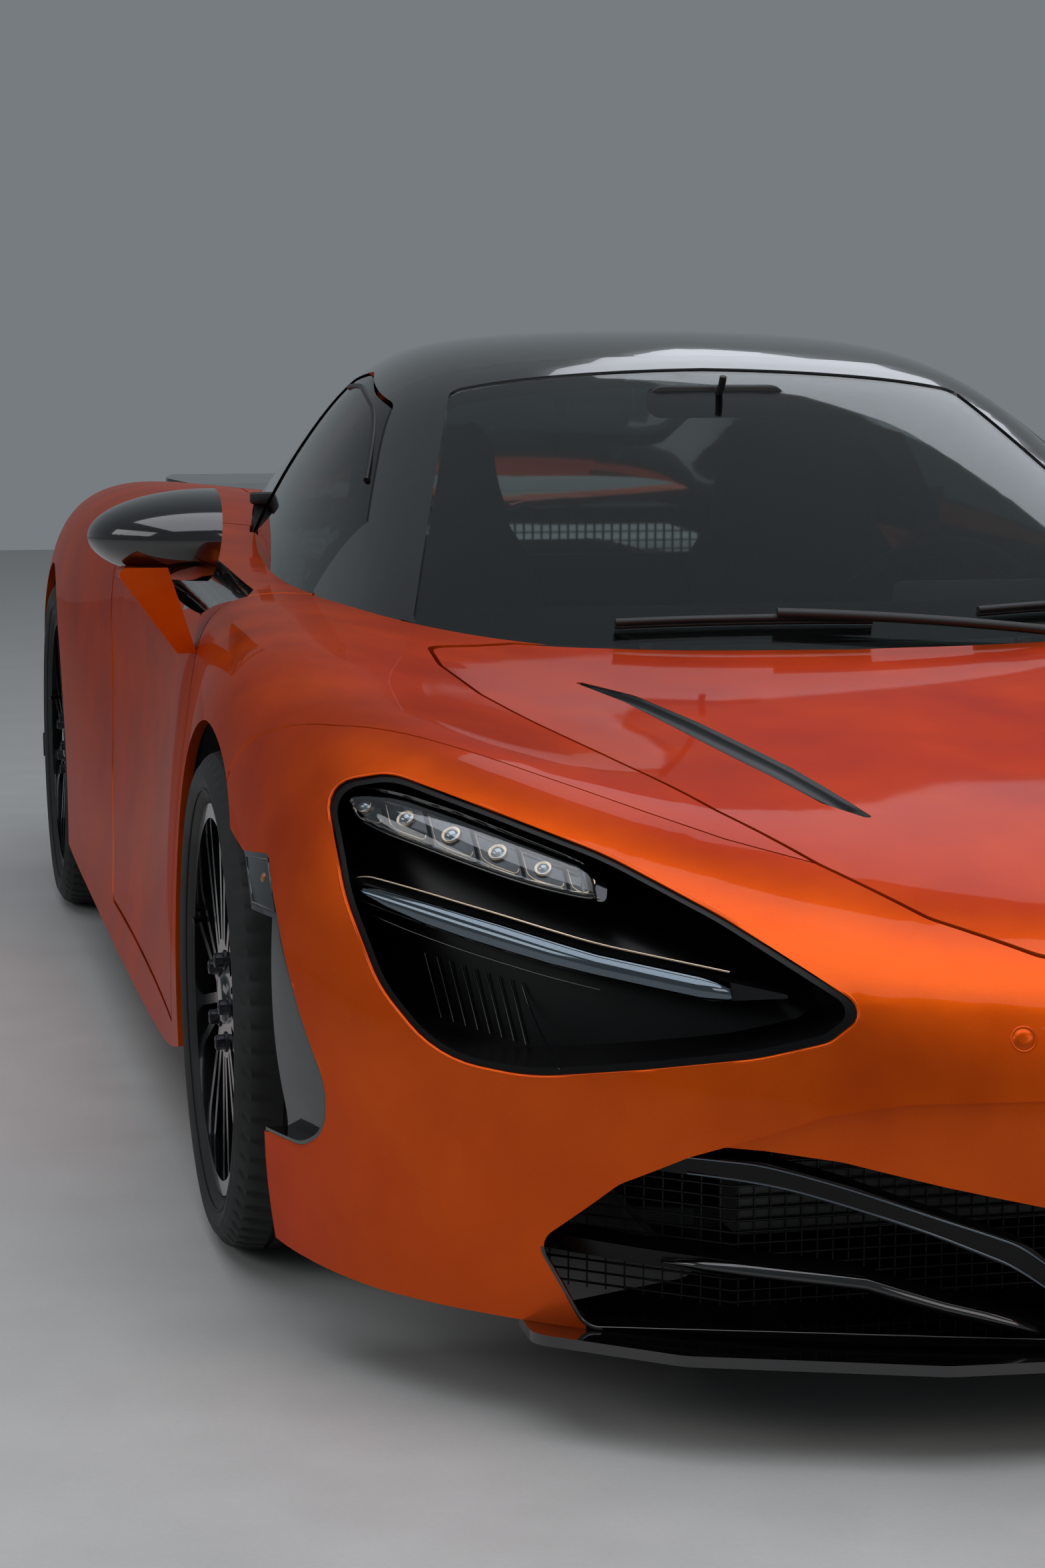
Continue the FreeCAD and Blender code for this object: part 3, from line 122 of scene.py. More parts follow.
def inner_dark(made, inward, edge):
    """Turns the faces of a door that look into the cabin to dark trim, without metal or coat."""
    tree = made.node_tree
    shader = tree.nodes["Principled BSDF"]
    shape = add(tree, "ShaderNodeNewGeometry")
    face = add(tree, "ShaderNodeVectorMath", [(0, shape.outputs["True Normal"]), (1, inward)],
               operation="DOT_PRODUCT")
    mask = add(tree, "ShaderNodeMath", [(0, face.outputs["Value"]), (1, edge)], operation="GREATER_THAN")
    for name in ("Metallic", "Coat Weight"):
        ends = [("To Min", shader.inputs[name].default_value), ("To Max", 0.0)]
        value = add(tree, "ShaderNodeMapRange", [("Value", mask.outputs[0])] + ends)
        tree.links.new(value.outputs[0], shader.inputs[name])
    return recolour(made, mask.outputs[0], "#141416")


def black_strip(made, height, half_width):
    """Turns the part of a painted cover under a height and within a half width to black."""
    tree = made.node_tree
    coords = add(tree, "ShaderNodeTexCoord")
    at = add(tree, "ShaderNodeSeparateXYZ", [("Vector", coords.outputs["Object"])])
    across = add(tree, "ShaderNodeMath", [(0, at.outputs["X"])], operation="ABSOLUTE")
    within = add(tree, "ShaderNodeMath", [(0, across.outputs[0]), (1, half_width)], operation="LESS_THAN")
    under = add(tree, "ShaderNodeMath", [(0, at.outputs["Z"]), (1, height)], operation="LESS_THAN")
    mask = add(tree, "ShaderNodeMath", [(0, within.outputs[0]), (1, under.outputs[0])], operation="MULTIPLY")
    return recolour(made, mask.outputs[0], "#070708")


HOLE_ROW_STEP = 0.016
HOLES_ROUND = 36
HOLE_ROW_LEAN = 9.0
HOLE_SHARE = 0.2


def disc_pattern(made, centre_yz):
    """Paints the drilled holes in curved rows on a brake disc material as dark dots of painted shade, measured
    from its axle.
    """
    tree = made.node_tree
    coords = add(tree, "ShaderNodeTexCoord")
    parts = add(tree, "ShaderNodeSeparateXYZ", [("Vector", coords.outputs["Object"])])
    dy = add(tree, "ShaderNodeMath", [(0, parts.outputs["Y"]), (1, centre_yz[0])], operation="SUBTRACT")
    dz = add(tree, "ShaderNodeMath", [(0, parts.outputs["Z"]), (1, centre_yz[1])], operation="SUBTRACT")
    flat = add(tree, "ShaderNodeCombineXYZ", [("X", dy.outputs[0]), ("Y", dz.outputs[0])])
    radius = add(tree, "ShaderNodeVectorMath", [(0, flat.outputs[0])], operation="LENGTH").outputs["Value"]
    angle = add(tree, "ShaderNodeMath", [(0, dz.outputs[0]), (1, dy.outputs[0])], operation="ARCTAN2")
    rows = add(tree, "ShaderNodeMath", [(0, radius), (1, 1 / HOLE_ROW_STEP)], operation="MULTIPLY")
    turned = add(tree, "ShaderNodeMath", [(0, radius), (1, HOLE_ROW_LEAN), (2, angle.outputs[0])],
                 operation="MULTIPLY_ADD")
    sectors = add(tree, "ShaderNodeMath", [(0, turned.outputs[0]), (1, HOLES_ROUND / (2 * math.pi))],
                  operation="MULTIPLY")
    both = add(tree, "ShaderNodeCombineXYZ", [("X", sectors.outputs[0]), ("Y", rows.outputs[0])])
    spot = add(tree, "ShaderNodeVectorMath", [(0, both.outputs[0])], operation="FRACTION")
    gap = add(tree, "ShaderNodeVectorMath", [(0, spot.outputs[0]), (1, (0.5, 0.5, 0))], operation="DISTANCE")
    hole = add(tree, "ShaderNodeMath", [(0, gap.outputs["Value"]), (1, HOLE_SHARE)], operation="LESS_THAN")
    # The holes are only painted: near-black dots stand in for the shade inside them.
    return recolour(made, hole.outputs[0], "#050505")


# Metallic lacquer under clear coat: flakes give the orange its sparkle and its darker turns, and the coat
# mirrors the light. Real flakes of 0.05 mm are drawn at 0.6 mm, so that they show.
PAINT = dict(colour="#D24A02", rough=0.40, metallic=0.82, scale_mm=0.6, vary=0.10, bump=0.02, coat=0.26,
             coat_rough=0.04, rough_vary=0.08, second="#E65C06", Specular_Tint=linear("#C0501A"))
INTAKE_STRIP = dict(height=0.1235, half_width=0.640)
DOOR_TURN = 0.55
M = {
    "paint": material("metallic_paint_clear_coat", **PAINT),
    # The same lacquer, masked so that the strip under the intake stays black.
    "paint_bumper": black_strip(material("metallic_paint_bumper", **PAINT), **INTAKE_STRIP),
    # The same lacquer outside and dark moulded trim where the door looks into the cabin.
    "paint_left": inner_dark(material("metallic_paint_left_door", **PAINT), (-1, 0, 0), DOOR_TURN),
    "paint_right": inner_dark(material("metallic_paint_right_door", **PAINT), (1, 0, 0), DOOR_TURN),
    # Polished black lacquer: deep black with sharp reflections.
    "gloss": material("gloss_black_lacquer", "#070708", 0.12, 0.0, 3.0, 0.2, 0.01, coat=1.0, coat_rough=0.02),
    # Moulded plastic, etched tool: soft grey highlights without a sharp edge.
    "satin": material("satin_black_moulding", "#111113", 0.46, 0.0, 1.2, 0.2, 0.25),
    # Moulded plastic with a coarse grain: dull and slightly mottled.
    "grain": material("grained_black_plastic", "#161618", 0.62, 0.0, 1.8, 0.25, 0.5),
    # Smooth dyed moulding of the lamp sockets: near black, with hardly a gleam. In the bonnet's slits the same
    # black is painted shade.
    "socket": material("lamp_socket_black_and_slit_shade", "#040405", 0.34, 0.0, 2.0, 0.2, 0.02, Specular_IOR_Level=0.22),
    # Vulcanised rubber: dull dark grey with patches of wear.
    "rubber": material("black_tyre_rubber", "#121212", 0.72, 0.0, 1.5, 0.3, 0.35, rough_vary=0.2),
    # Extruded rubber: a dark line with a low sheen.
    "seal": material("extruded_rubber_seal", "#0B0B0C", 0.42, 0.0, 1.0, 0.2, 0.2),
    # Forged alloy under dark lacquer: tight highlights run along the spokes.
    "wheel": material("dark_lacquered_forged_alloy", "#0D0D0F", 0.2, 0.35, 0.8, 0.15, 0.03, coat=0.8,
                      coat_rough=0.06),
    # Aluminium cast in sand: pale grey and slightly pitted.
    "alloy": material("cast_aluminium", "#8C8E90", 0.42, 1.0, 2.5, 0.15, 0.3),
    # Drawn steel tube tinted by heat: straw streaks on bright grey.
    "steel": material("heat_tinted_steel", "#7C766C", 0.3, 1.0, 1.0, 0.2, 0.06, second="#9A8C70",
                      stretch=(1, 0.1, 1)),
    # Turned and plated steel: dark, with bright edges.
    "bolt": material("dark_plated_steel", "#2C2C2F", 0.34, 1.0, 0.8, 0.2, 0.1),
    # Cast iron after grinding: fine-grained grey with a soft gleam.
    "iron": material("ground_cast_iron", "#5B5B5C", 0.36, 1.0, 0.7, 0.2, 0.15),
    # Tanned and embossed leather: pebbles, drawn at twice their real size, break up the highlights.
    "leather": material("dark_grained_leather", "#141416", 0.52, 0.0, 1.6, 0.3, 0.6, rough_vary=0.15),
    # Brushed microfibre: no highlight, and a faint bloom at its edges.
    "suede": material("dark_microsuede", "#0C0C0E", 0.95, 0.0, 0.8, 0.35, 0.12, Sheen_Weight=0.08,
                      Sheen_Roughness=0.4, Specular_IOR_Level=0.2),
    # Dyed leather: warm orange lines against the dark seats.
    "accent": material("burnt_orange_leather", "#B04A12", 0.5, 0.0, 1.6, 0.15, 0.5),
    # Twisted thread: a thin dull line of orange.
    "stitch": material("orange_thread", "#C05A1C", 0.7, 0.0, 0.4, 0.2, 0.4),
    # Tufted pile: an uneven black that swallows the light.
    "carpet": material("black_pile_carpet", "#0C0C0D", 0.95, 0.0, 1.2, 0.4, 0.9),
    # Bonded glass over an unlit panel: a black mirror.
    "screen": material("switched_off_screen", "#050608", 0.08, 0.0, 4.0, 0.1, 0.0, coat=0.5),
    # Smooth moulding of the intake vanes: near black with a low gleam.
    "vane": material("black_moulded_vane", "#060607", 0.30, 0.0, 2.0, 0.2, 0.02, Specular_IOR_Level=0.25),
    # Plastic plated in smoked chrome: a blue-grey mirror.
    "reflector": material("smoked_chrome_blade", "#5A656E", 0.10, 1.0, 3.0, 0.12, 0.0, coat=0.6),
    # Plastic plated in dark chrome: deep grey that mirrors the rims round it.
    "cell": material("dark_chromed_cell", "#1E2124", 0.14, 0.9, 3.0, 0.2, 0.02, coat=0.8),
    # Polished warm plating: a thin bright line.
    "rim": material("polished_cell_rim", "#B9A690", 0.14, 1.0, 1.0, 0.2, 0.0),
    # Pressed glass with a plated back: pale beads that catch the light.
    "dome": material("lamp_dome_glass", "#8E979D", 0.05, 0.75, 2.0, 0.1, 0.0, coat=1.0),
    # Woven polyester: dull black with fine cross rows, drawn at 1.2 mm.
    "webbing": material("woven_belt_webbing", "#0E0E10", 0.75, 0.0, 1.2, 0.3, 0.6, stretch=(1, 1, 0.2)),
    # Moulded acrylic: amber with a sharp highlight.
    "amber": material("amber_lens", "#8A4A10", 0.12, 0.0, 1.5, 0.15, 0.1, coat=0.6),
    # Moulded acrylic, unlit: a dark red line with a sharp highlight.
    "red": material("red_lamp_lens", "#4A0506", 0.12, 0.0, 2.0, 0.15, 0.1, coat=0.8),
    # Silvered flat glass: a clean mirror image.
    "mirror": material("silvered_mirror", "#C6CBD0", 0.02, 1.0, 4.0, 0.03, 0.0, rough_vary=0.02),
    # Moulded polycarbonate: seen through, with a soft gleam.
    "clear": material("clear_lens", "#F2F5F7", 0.03, 0.0, 2.0, 0.02, 0.0, Transmission_Weight=1.0, IOR=1.49,
                      Specular_IOR_Level=0.25),
    # Laminated float glass, lightly tinted: the cabin shows a shade darker.
    "glass": material("laminated_tinted_glass", "#A9B4B2", 0.02, 0.0, 5.0, 0.02, 0.0, rough_vary=0.05,
                      Transmission_Weight=1.0, IOR=1.5),
    # Float glass with a deep tint: the cabin hardly shows.
    "glass_dark": material("dark_tinted_glass", "#5C6664", 0.02, 0.0, 5.0, 0.02, 0.0, rough_vary=0.05,
                           Transmission_Weight=1.0, IOR=1.5),
}


def placed(name, data):
    """A new object in the scene."""
    made = bpy.data.objects.new(name, data)
    scene.collection.objects.link(made)
    return made


def bevelled(made, width):
    """Rounds an object's sharp edges by a width in metres."""
    cut = made.modifiers.new("bevel", "BEVEL")
    cut.width = width
    cut.segments = 2
    cut.limit_method = "ANGLE"


def piece(name, mesh, mat, body="chassis", smooth=True, level=0, bevel=0.0):
    """Links a finished mesh as a piece that rides on a body."""
    made = placed(name, mesh)
    for m in mat if isinstance(mat, tuple) else (mat,):
        mesh.materials.append(m)
    for face in mesh.polygons:
        face.use_smooth = smooth
    if bevel:
        bevelled(made, bevel)
    if level:
        finer = made.modifiers.new("smooth", "SUBSURF")
        finer.levels = finer.render_levels = level
    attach(made, body)
    return made


def baked(bm, name):
    """The mesh of a finished bmesh."""
    mesh = bpy.data.meshes.new(name)
    bm.to_mesh(mesh)
    bm.free()
    return mesh


def to_mesh(bm, name):
    """Closes doubles, turns the faces outwards and gives the mesh."""
    bmesh.ops.remove_doubles(bm, verts=bm.verts, dist=0.00002)
    bmesh.ops.recalc_face_normals(bm, faces=bm.faces)
    return baked(bm, name)


def turn(bm, profile, steps, centre=(0, 0, 0), side=1, mat=0):
    """Spins a line of x, radius points round the X axis through a centre."""
    known = set(bm.faces)
    verts = [bm.verts.new((centre[0] + x * side, centre[1], centre[2] + r)) for x, r in profile]
    edges = [bm.edges.new(pair) for pair in zip(verts, verts[1:])]
    bmesh.ops.spin(bm, geom=verts + edges, cent=centre, axis=(1, 0, 0), dvec=(0, 0, 0), angle=2 * math.pi,
                   steps=steps, use_merge=True)
    for face in set(bm.faces) - known:
        face.material_index = mat


def set_on(bm, where, normal):
    """Moves a shape that was spun round X to a point, with X along the normal there."""
    turned = normal.to_track_quat("X", "Y").to_matrix().to_4x4()
    bmesh.ops.transform(bm, verts=bm.verts, matrix=Matrix.Translation(where) @ turned)


def soften(bm, edges, offset, segments=2):
    """Rounds edges by an offset in metres."""
    bmesh.ops.bevel(bm, geom=edges, offset=offset, offset_type="OFFSET", segments=segments, profile=0.5,
                    affect="EDGES", clamp_overlap=True, material=-1)


def plate(bm, corners, way, thick, round_off):
    """A plate from its outline, extruded along a direction, with its edges bevelled."""
    face = bm.faces.new([bm.verts.new(c) for c in corners])
    made = bmesh.ops.extrude_face_region(bm, geom=[face])
    moved = [g for g in made["geom"] if isinstance(g, bmesh.types.BMVert)]
    bmesh.ops.translate(bm, verts=moved, vec=Vector(way) * thick)
    ends = {face} | {g for g in made["geom"] if isinstance(g, bmesh.types.BMFace)}
    soften(bm, list({e for f in ends for e in f.edges}), round_off)


def rod(name, points, radius, closed=False, smooth=True, sides=3):
    """A round bar along a line of points, as a mesh."""
    curve = bpy.data.curves.new(name, "CURVE")
    curve.dimensions = "3D"
    curve.bevel_depth = radius
    curve.bevel_resolution = sides
    curve.use_fill_caps = not closed
    line = curve.splines.new("NURBS" if smooth else "POLY")
    line.points.add(len(points) - 1)
    for target, point in zip(line.points, points):
        target.co = tuple(point) + (1,)
    if smooth:
        line.order_u = 3
        line.use_endpoint_u = True
    line.use_cyclic_u = closed
    holder = placed(name, curve)
    mesh = bpy.data.meshes.new_from_object(holder.evaluated_get(bpy.context.evaluated_depsgraph_get()))
    bpy.data.objects.remove(holder)
    return mesh


def joined(name, meshes):
    """Several meshes as one, with a material number for each."""
    bm = bmesh.new()
    for number, mesh in meshes:
        known = set(bm.faces)
        bm.from_mesh(mesh)
        if number is not None:
            for face in set(bm.faces) - known:
                face.material_index = number
    return baked(bm, name)


def refinish(node, made):
    """Gives a carried-over node one material."""
    NODES[node].data.materials.clear()
    NODES[node].data.materials.append(made)


# Finishes of the carried-over nodes.
FINISH = {
    "paint_bumper": ("front_bumper",), "paint": ("bonnet", "wings", "sill_panels", "quarters", "engine_deck"),
    "paint_left": ("door_left",), "paint_right": ("door_right",),
    "gloss": ("mirror_left", "mirror_right", "screen_surround", "roof_panel", "rear_canopy", "corner_vents",
              "rear_wing", "splitter"),
    "vane": ("intake_ducts",),
    "socket": ("headlamp_bowls", "headlamp_blades"),
    "glass": ("windscreen",), "glass_dark": ("door_glass_left", "door_glass_right", "rear_glass"),
    "satin": ("rear_fascia", "tub", "engine_block", "cowl"), "grain": ("arch_liners", "diffuser"),
    "red": ("tail_lamps",), "steel": ("exhaust_tips",), "suede": ("dashboard", "steering_wheel"),
    "alloy": ("knuckle_left", "knuckle_right", "rear_uprights", "suspension_arms"), "cell": ("lamp_units",),
}
for key, names in FINISH.items():
    for name in names:
        refinish(name, M[key])
for name, wheel in WHEELS.items():
    refinish(f"rim_{name}", M["wheel"])
    # Ground cast iron with drilled holes: grey with curved rows of dark dots, painted shade in place of the
    # holes' depth.
    drilled = material(f"drilled_disc_{name}", "#5B5B5C", 0.34, 1.0, 0.7, 0.2, 0.12)
    refinish(f"disc_{name}", disc_pattern(drilled, (wheel["at"].y, wheel["at"].z)))

# Tyres with grooves, shoulder blocks, wall ribs and a rim guard.
BLOCKS = 68
STEPS_ROUND = BLOCKS * 4
GROOVES = (-0.62, -0.2, 0.2, 0.62)
GROOVE_DEEP, GROOVE_HALF = 0.0065, 0.0045
SHOULDER_SINK, RIB_SINK = 0.0045, 0.003
for name, wheel in WHEELS.items():
    R, half, at = wheel["radius"], wheel["width"] / 2, wheel["at"]
    bead, flat, rib_at = half - 0.022, half - 0.026, half * 0.2
    guard = wheel["rim"] + 0.010
    middle = (R + wheel["rim"]) / 2 + 0.008
    line = [(-bead, guard + 0.001), (-bead - 0.006, guard + 0.005), (-bead - 0.010, guard + 0.010),
            (-bead - 0.012, guard + 0.013), (-half + 0.004, middle - 0.010), (-half + 0.0012, middle),
            (-half + 0.0045, middle + 0.010), (-half + 0.009, R - 0.017), (-half + 0.013, R - 0.011),
            (-half + 0.019, R - 0.006), (-flat + 0.006, R - 0.0022)]
    other_wall = [(-x, r) for x, r in reversed(line)]
    for groove in GROOVES:
        mid = groove * flat
        if groove > GROOVES[0]:
            line.append((mid - rib_at, R - 0.0003))
        line += [(mid - GROOVE_HALF, R - 0.0005), (mid - GROOVE_HALF + 0.001, R - GROOVE_DEEP),
                 (mid + GROOVE_HALF - 0.001, R - GROOVE_DEEP), (mid + GROOVE_HALF, R - 0.0005)]
    line += other_wall
    bm = bmesh.new()
    turn(bm, line, STEPS_ROUND, at)
    # Every fourth row of the shoulders and every eighth of the ribs is sunk, which cuts the blocks.
    for vert in bm.verts:
        x = vert.co.x - at.x
        away = Vector((0, vert.co.y - at.y, vert.co.z - at.z))
        step = round(math.atan2(away.y, away.z) / (2 * math.pi) * STEPS_ROUND)
        shoulder = half - 0.0135 <= abs(x) + 0.0006 < half + 0.001 and R - 0.012 < away.length < R - 0.001
        shoulder = shoulder or flat - 0.007 < abs(x) < flat - 0.005
        rib = any(abs(x - (groove * flat - rib_at)) < 0.001 for groove in GROOVES[1:])
        sink = SHOULDER_SINK if step % 4 == 0 and shoulder else RIB_SINK if step % 8 == 2 and rib else 0
        vert.co -= away.normalized() * sink
    for wall in (-1, 1):
        for r, x in ((guard + 0.019, half - 0.0064), (middle + 0.004, half - 0.0030)):
            line = ((wall * x, r - 0.0016), (wall * (x + 0.0012), r), (wall * x, r + 0.0016))
            turn(bm, line, 96, at)
    made = piece(f"tyre_tread_{name}", to_mesh(bm, "tyre"), M["rubber"], f"wheel_{name}")
    edge = made.modifiers.new("edges", "EDGE_SPLIT")
    edge.split_angle = math.radians(38)
    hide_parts(f"tyre_{name}")

# Wheel bolts, blank centre caps and valves. Each profile runs outwards from the hub's face.
BOLTS, BOLT_CIRCLE = 5, 0.057
CAP = ((-0.001, 0.034), (0.003, 0.032), (0.006, 0.028), (0.0066, 0.02), (0.0066, 0))
SEAT = ((-0.001, 0.014), (0.002, 0.0135), (0.003, 0.0115), (0.003, 0.0105))
BOLT = ((0.003, 0.0105), (0.013, 0.0102), (0.0145, 0.0088), (0.0145, 0.005), (0.008, 0.0048), (0.008, 0))
VALVE_ANGLE = math.radians(18)
for name, wheel in WHEELS.items():
    side, at = wheel["side"], wheel["at"]
    face = wheel["width"] / 2 - 0.026
    cap, seat, bolt = ([(face + x, r) for x, r in profile] for profile in (CAP, SEAT, BOLT))
    bm = bmesh.new()
    turn(bm, cap, 40, at, side)
    for k in range(BOLTS):
        a = 2 * math.pi * (k + 0.5) / BOLTS
        centre = at + Vector((0, math.cos(a), math.sin(a))) * BOLT_CIRCLE
        turn(bm, seat, 24, centre, side, 1)
        turn(bm, bolt, 6, centre, side, 1)
    spoke = Vector((0, math.cos(VALVE_ANGLE), math.sin(VALVE_ANGLE)))
    stem = at + Vector((side * (face - 0.012), 0, 0)) + spoke * (wheel["rim"] - 0.016)
    inward = Vector((side * 0.028, 0, 0)) - spoke * 0.012
    valve = rod("valve", (stem, stem + inward * 0.5, stem + inward), 0.0042)
    piece(f"wheel_bolts_{name}", to_mesh(bm, "bolts"), (M["wheel"], M["bolt"]), f"wheel_{name}",
          bevel=0.0004)
    piece(f"valve_{name}", valve, M["bolt"], f"wheel_{name}")

# Bevelled edges on the carried-over parts catch the light.
for name in ("steering_wheel", "engine_block", "knuckle_left", "knuckle_right"):
    bevelled(NODES[name], 0.002)


def cast(node, start, way):
    """The first point of a node met from a start along a way, and the face's normal there."""
    hit, where, normal, _ = NODES[node].ray_cast(Vector(start), Vector(way))
    return (where.copy(), normal.copy()) if hit else None


def from_front(node, side, at):
    """What a line from the front meets at (x, z) in mm."""
    return cast(node, (side * at[0] * MM, -3, at[1] * MM), (0, 1, 0))


def from_side(node, side, at):
    """What a line from beside the car meets at (y, z) in mm."""
    return cast(node, (side * 1.4, at[0] * MM, at[1] * MM), (-side, 0, 0))


def from_above(node, side, at):
    """What a line from above meets at (x, y) in mm."""
    return cast(node, (side * at[0] * MM, at[1] * MM, 2), (0, 0, -1))


def from_cabin(node, side, at):
    """What a line from inside the cabin meets at (y, z) in mm."""
    return cast(node, (side * 0.3, at[0] * MM, at[1] * MM), (side, 0, 0))


def traced(view, node, side, line, lift=0.0):
    """The points that a view meets on a node along flat points in mm, lifted off it by metres."""
    spots = [view(node, side, at) for at in line]
    return [spot[0] + spot[1] * lift for spot in spots if spot]


def along(table, x):
    """The value at x between the rows of a table of (x, value), in rising order of x."""
    for (x0, v0), (x1, v1) in zip(table, table[1:]):
        if x <= x1:
            break
    return v0 + (v1 - v0) * (x - x0) / (x1 - x0)


def rounded(corners, steps=6):
    """Points along a closed outline of (a, b, radius) corners, with an arc in each."""
    line = []
    for k, (a, b, radius) in enumerate(corners):
        here = Vector((a, b))
        back = Vector(corners[k - 1][:2]) - here
        on = Vector(corners[(k + 1) % len(corners)][:2]) - here
        half = back.angle(on) / 2
        if radius == 0 or half > math.radians(89):
            line.append(here)
            continue
        reach = min(radius / math.tan(half), back.length * 0.49, on.length * 0.49)
        middle = here + (back.normalized() + on.normalized()).normalized() * reach / math.cos(half)
        start = here + back.normalized() * reach - middle
        end = here + on.normalized() * reach - middle
        line += [middle + start.slerp(end, s / steps).normalized() * start.length for s in range(steps + 1)]
    return line


def lip(name, line, node, view, radius, sunk, out, mat, closed=True):
    """A rolled edge on both sides of the car, along flat points in mm that run counter-clockwise."""
    moved = []
    for k, here in enumerate(line):
        ahead = line[(k + 1) % len(line)] - here if closed or k + 1 < len(line) else here - line[k - 1]
        moved.append(here + Vector((ahead.y, -ahead.x)).normalized() * out)
    lines = [traced(view, node, side, moved, -sunk * MM) for side in (1, -1)]
    meshes = [(0, rod(name, points, radius * MM, closed, smooth=False)) for points in lines]
    piece(name, joined(name, meshes), mat)


def crowned(name, stations, crown, wall, across=8):
    """A closed strip along stations of (centre, half width, normal), domed across by a crown."""
    bm = bmesh.new()
    last = len(stations) - 1
    bmesh.ops.create_grid(bm, x_segments=last, y_segments=across, size=1)
    for vert in bm.verts:
        share = vert.co.y
        centre, half, normal = stations[round((vert.co.x + 1) / 2 * last)]
        vert.co = centre + half * share + normal * crown * (1 - share * share)
    bmesh.ops.recalc_face_normals(bm, faces=bm.faces)
    bmesh.ops.solidify(bm, geom=bm.faces[:], thickness=wall)
    return to_mesh(bm, name)


# Parking sensors in the bumper: a body-colour button in a ring.
SENSOR_AT = (223, 460)
SENSOR = ((-0.002, 0.0145), (0.0006, 0.0140), (0.0010, 0.0122), (-0.0006, 0.0116), (0.0003, 0.0110),
          (0.0008, 0.004), (0.0008, 0))
bm = bmesh.new()
for name, side in SIDES:
    part = bmesh.new()
    turn(part, SENSOR, 32)
    set_on(part, *from_front("front_bumper", side, SENSOR_AT))
    bm.from_mesh(to_mesh(part, "sensor"))
piece("parking_sensors", to_mesh(bm, "sensors"), M["paint"])

# Rolled edges of the openings in the bumper cover: they catch the light all round.
LAMP_EDGE = ((866, 672, 60), (796, 690, 60), (708, 662, 300), (600, 624, 300), (500, 571, 300),
             (372, 486, 18), (415, 453, 40), (484, 434, 300), (591, 415, 300), (700, 396, 200),
             (786, 404, 90), (836, 470, 120), (862, 560, 200))
VENT_EDGE = ((-1400, 521, 0), (-1664, 521, 0), (-1717, 450, 160), (-1790, 345, 120), (-1784, 290, 60),
             (-1738, 264, 60), (-1400, 274, 0))
INTAKE_EDGE = ((0, 398, 0), (203, 398, 30), (340, 393, 40), (420, 378, 40), (483, 353, 40),
               (551, 326, 40), (616, 290, 40), (690, 215, 25), (640, 122, 20), (0, 122, 0))
lip("lamp_lip", rounded(LAMP_EDGE), "front_bumper", from_front, 2.4, 1.7, 1.6, M["paint"])
vent_line = [p for p in rounded(VENT_EDGE) if p.x < -1664 and p.y < 516] + [Vector((-1668, 266))]
lip("vent_lip", vent_line, "front_bumper", from_side, 2.2, 1.6, 1.4, M["paint"], closed=False)
intake_foot = [p for p in reversed(rounded(INTAKE_EDGE)) if p.y < 214]
lip("intake_lip", intake_foot, "front_bumper", from_front, 2.6, 1.2, 1.6, M["gloss"],
    closed=False)

# Face of the lit row and of the blade in each head lamp, as (x, z) in mm from the front.
CELL_SPLITS = (838, 806, 766, 724, 682, 640, 598)
CELL_TOP = ((598, 594), (679, 622), (739, 643), (785, 655), (838, 662))
CELL_LOW = ((598, 572), (679, 590), (739, 608), (785, 622), (838, 636))
BLADE_TOP = ((432, 494), (531, 511), (626, 527), (714, 549), (784, 564), (900, 584))
BLADE_LOW = ((432, 489), (520, 486), (663, 510), (755, 531), (837, 552), (900, 560))


def on_strip(node, tables, side, x, share, lift):
    """A point on the face of a lamp node: share runs from the low edge at 0 to the top edge at 1."""
    low, top = along(tables[0], x), along(tables[1], x)
    found = from_front(node, side, (x, low + (top - low) * share))
    return found and (found[0] + found[1] * lift * MM, found[1])


def strip_stations(node, tables, side, places, wide, lift):
    """Stations of a crowned strip over a lamp node; its ends are drawn in."""
    stations = []
    for k, x in enumerate(places):
        pair = [on_strip(node, tables, side, x, share, lift) for share in (0.12, 0.88)]
        if None in pair:
            continue
        (low, down), (top, up) = pair
        u = 2 * k / (len(places) - 1) - 1
        draw = max(0.2, (1 - u ** 8) ** 0.5)
        stations.append(((low + top) / 2, (top - low) / 2 / 0.76 * wide * draw, (down + up).normalized()))
    return stations


CELLS = (CELL_LOW, CELL_TOP)
BLADE = (BLADE_LOW, BLADE_TOP)
COVER_PLACES = (834, 826, 812, 796, 778, 752, 734, 712, 694, 670, 652, 628, 614, 605)
BLADE_PLACES = (846, 836, 818, 784, 750, 714, 670, 626, 580, 531, 500, 474, 454, 444)
MARKER_FRAME = ((-1534, 570), (-1606, 578), (-1655, 524), (-1590, 525))
MARKER_BULB_AT = (-1606, 556)
MARKER_BULB = ((-0.001, 0.006), (0.0010, 0.0052), (0.0020, 0.003), (0.0024, 0))


def lit_row(side):
    """The cells of a lamp's lit row: a bright rim round each, and a ring with a small dome in it."""
    rims = []
    domes = bmesh.new()
    for outer, inner in zip(CELL_SPLITS, CELL_SPLITS[1:]):
        path = ((outer - 4, 0.86), (outer - 4, 0.5), (outer - 4, 0.14), (inner + 14, 0.12), (inner + 5, 0.14),
                (inner + 4, 0.3))
        spots = [on_strip("lamp_units", CELLS, side, x, share, 0.6) for x, share in path]
        rims.append((0, rod("rim", [spot[0] for spot in spots if spot], 0.0009)))
        middle = (outer + inner) / 2
        r = (along(CELL_TOP, middle) - along(CELL_LOW, middle)) * 0.34 * MM
        ring = ((0, r), (0.0035, r * 0.97), (0.0040, r * 0.9), (0.0012, r * 0.7))
        dome = ((0.0012, r * 0.7), (0.0042, r * 0.58), (0.0062, r * 0.34), (0.0068, 0))
        part = bmesh.new()
        turn(part, ring, 28)
        turn(part, dome, 28, mat=1)
        set_on(part, *on_strip("lamp_units", CELLS, side, middle, 0.55, 0))
        domes.from_mesh(to_mesh(part, "dome"))
    return rims + [(None, to_mesh(domes, "domes"))]


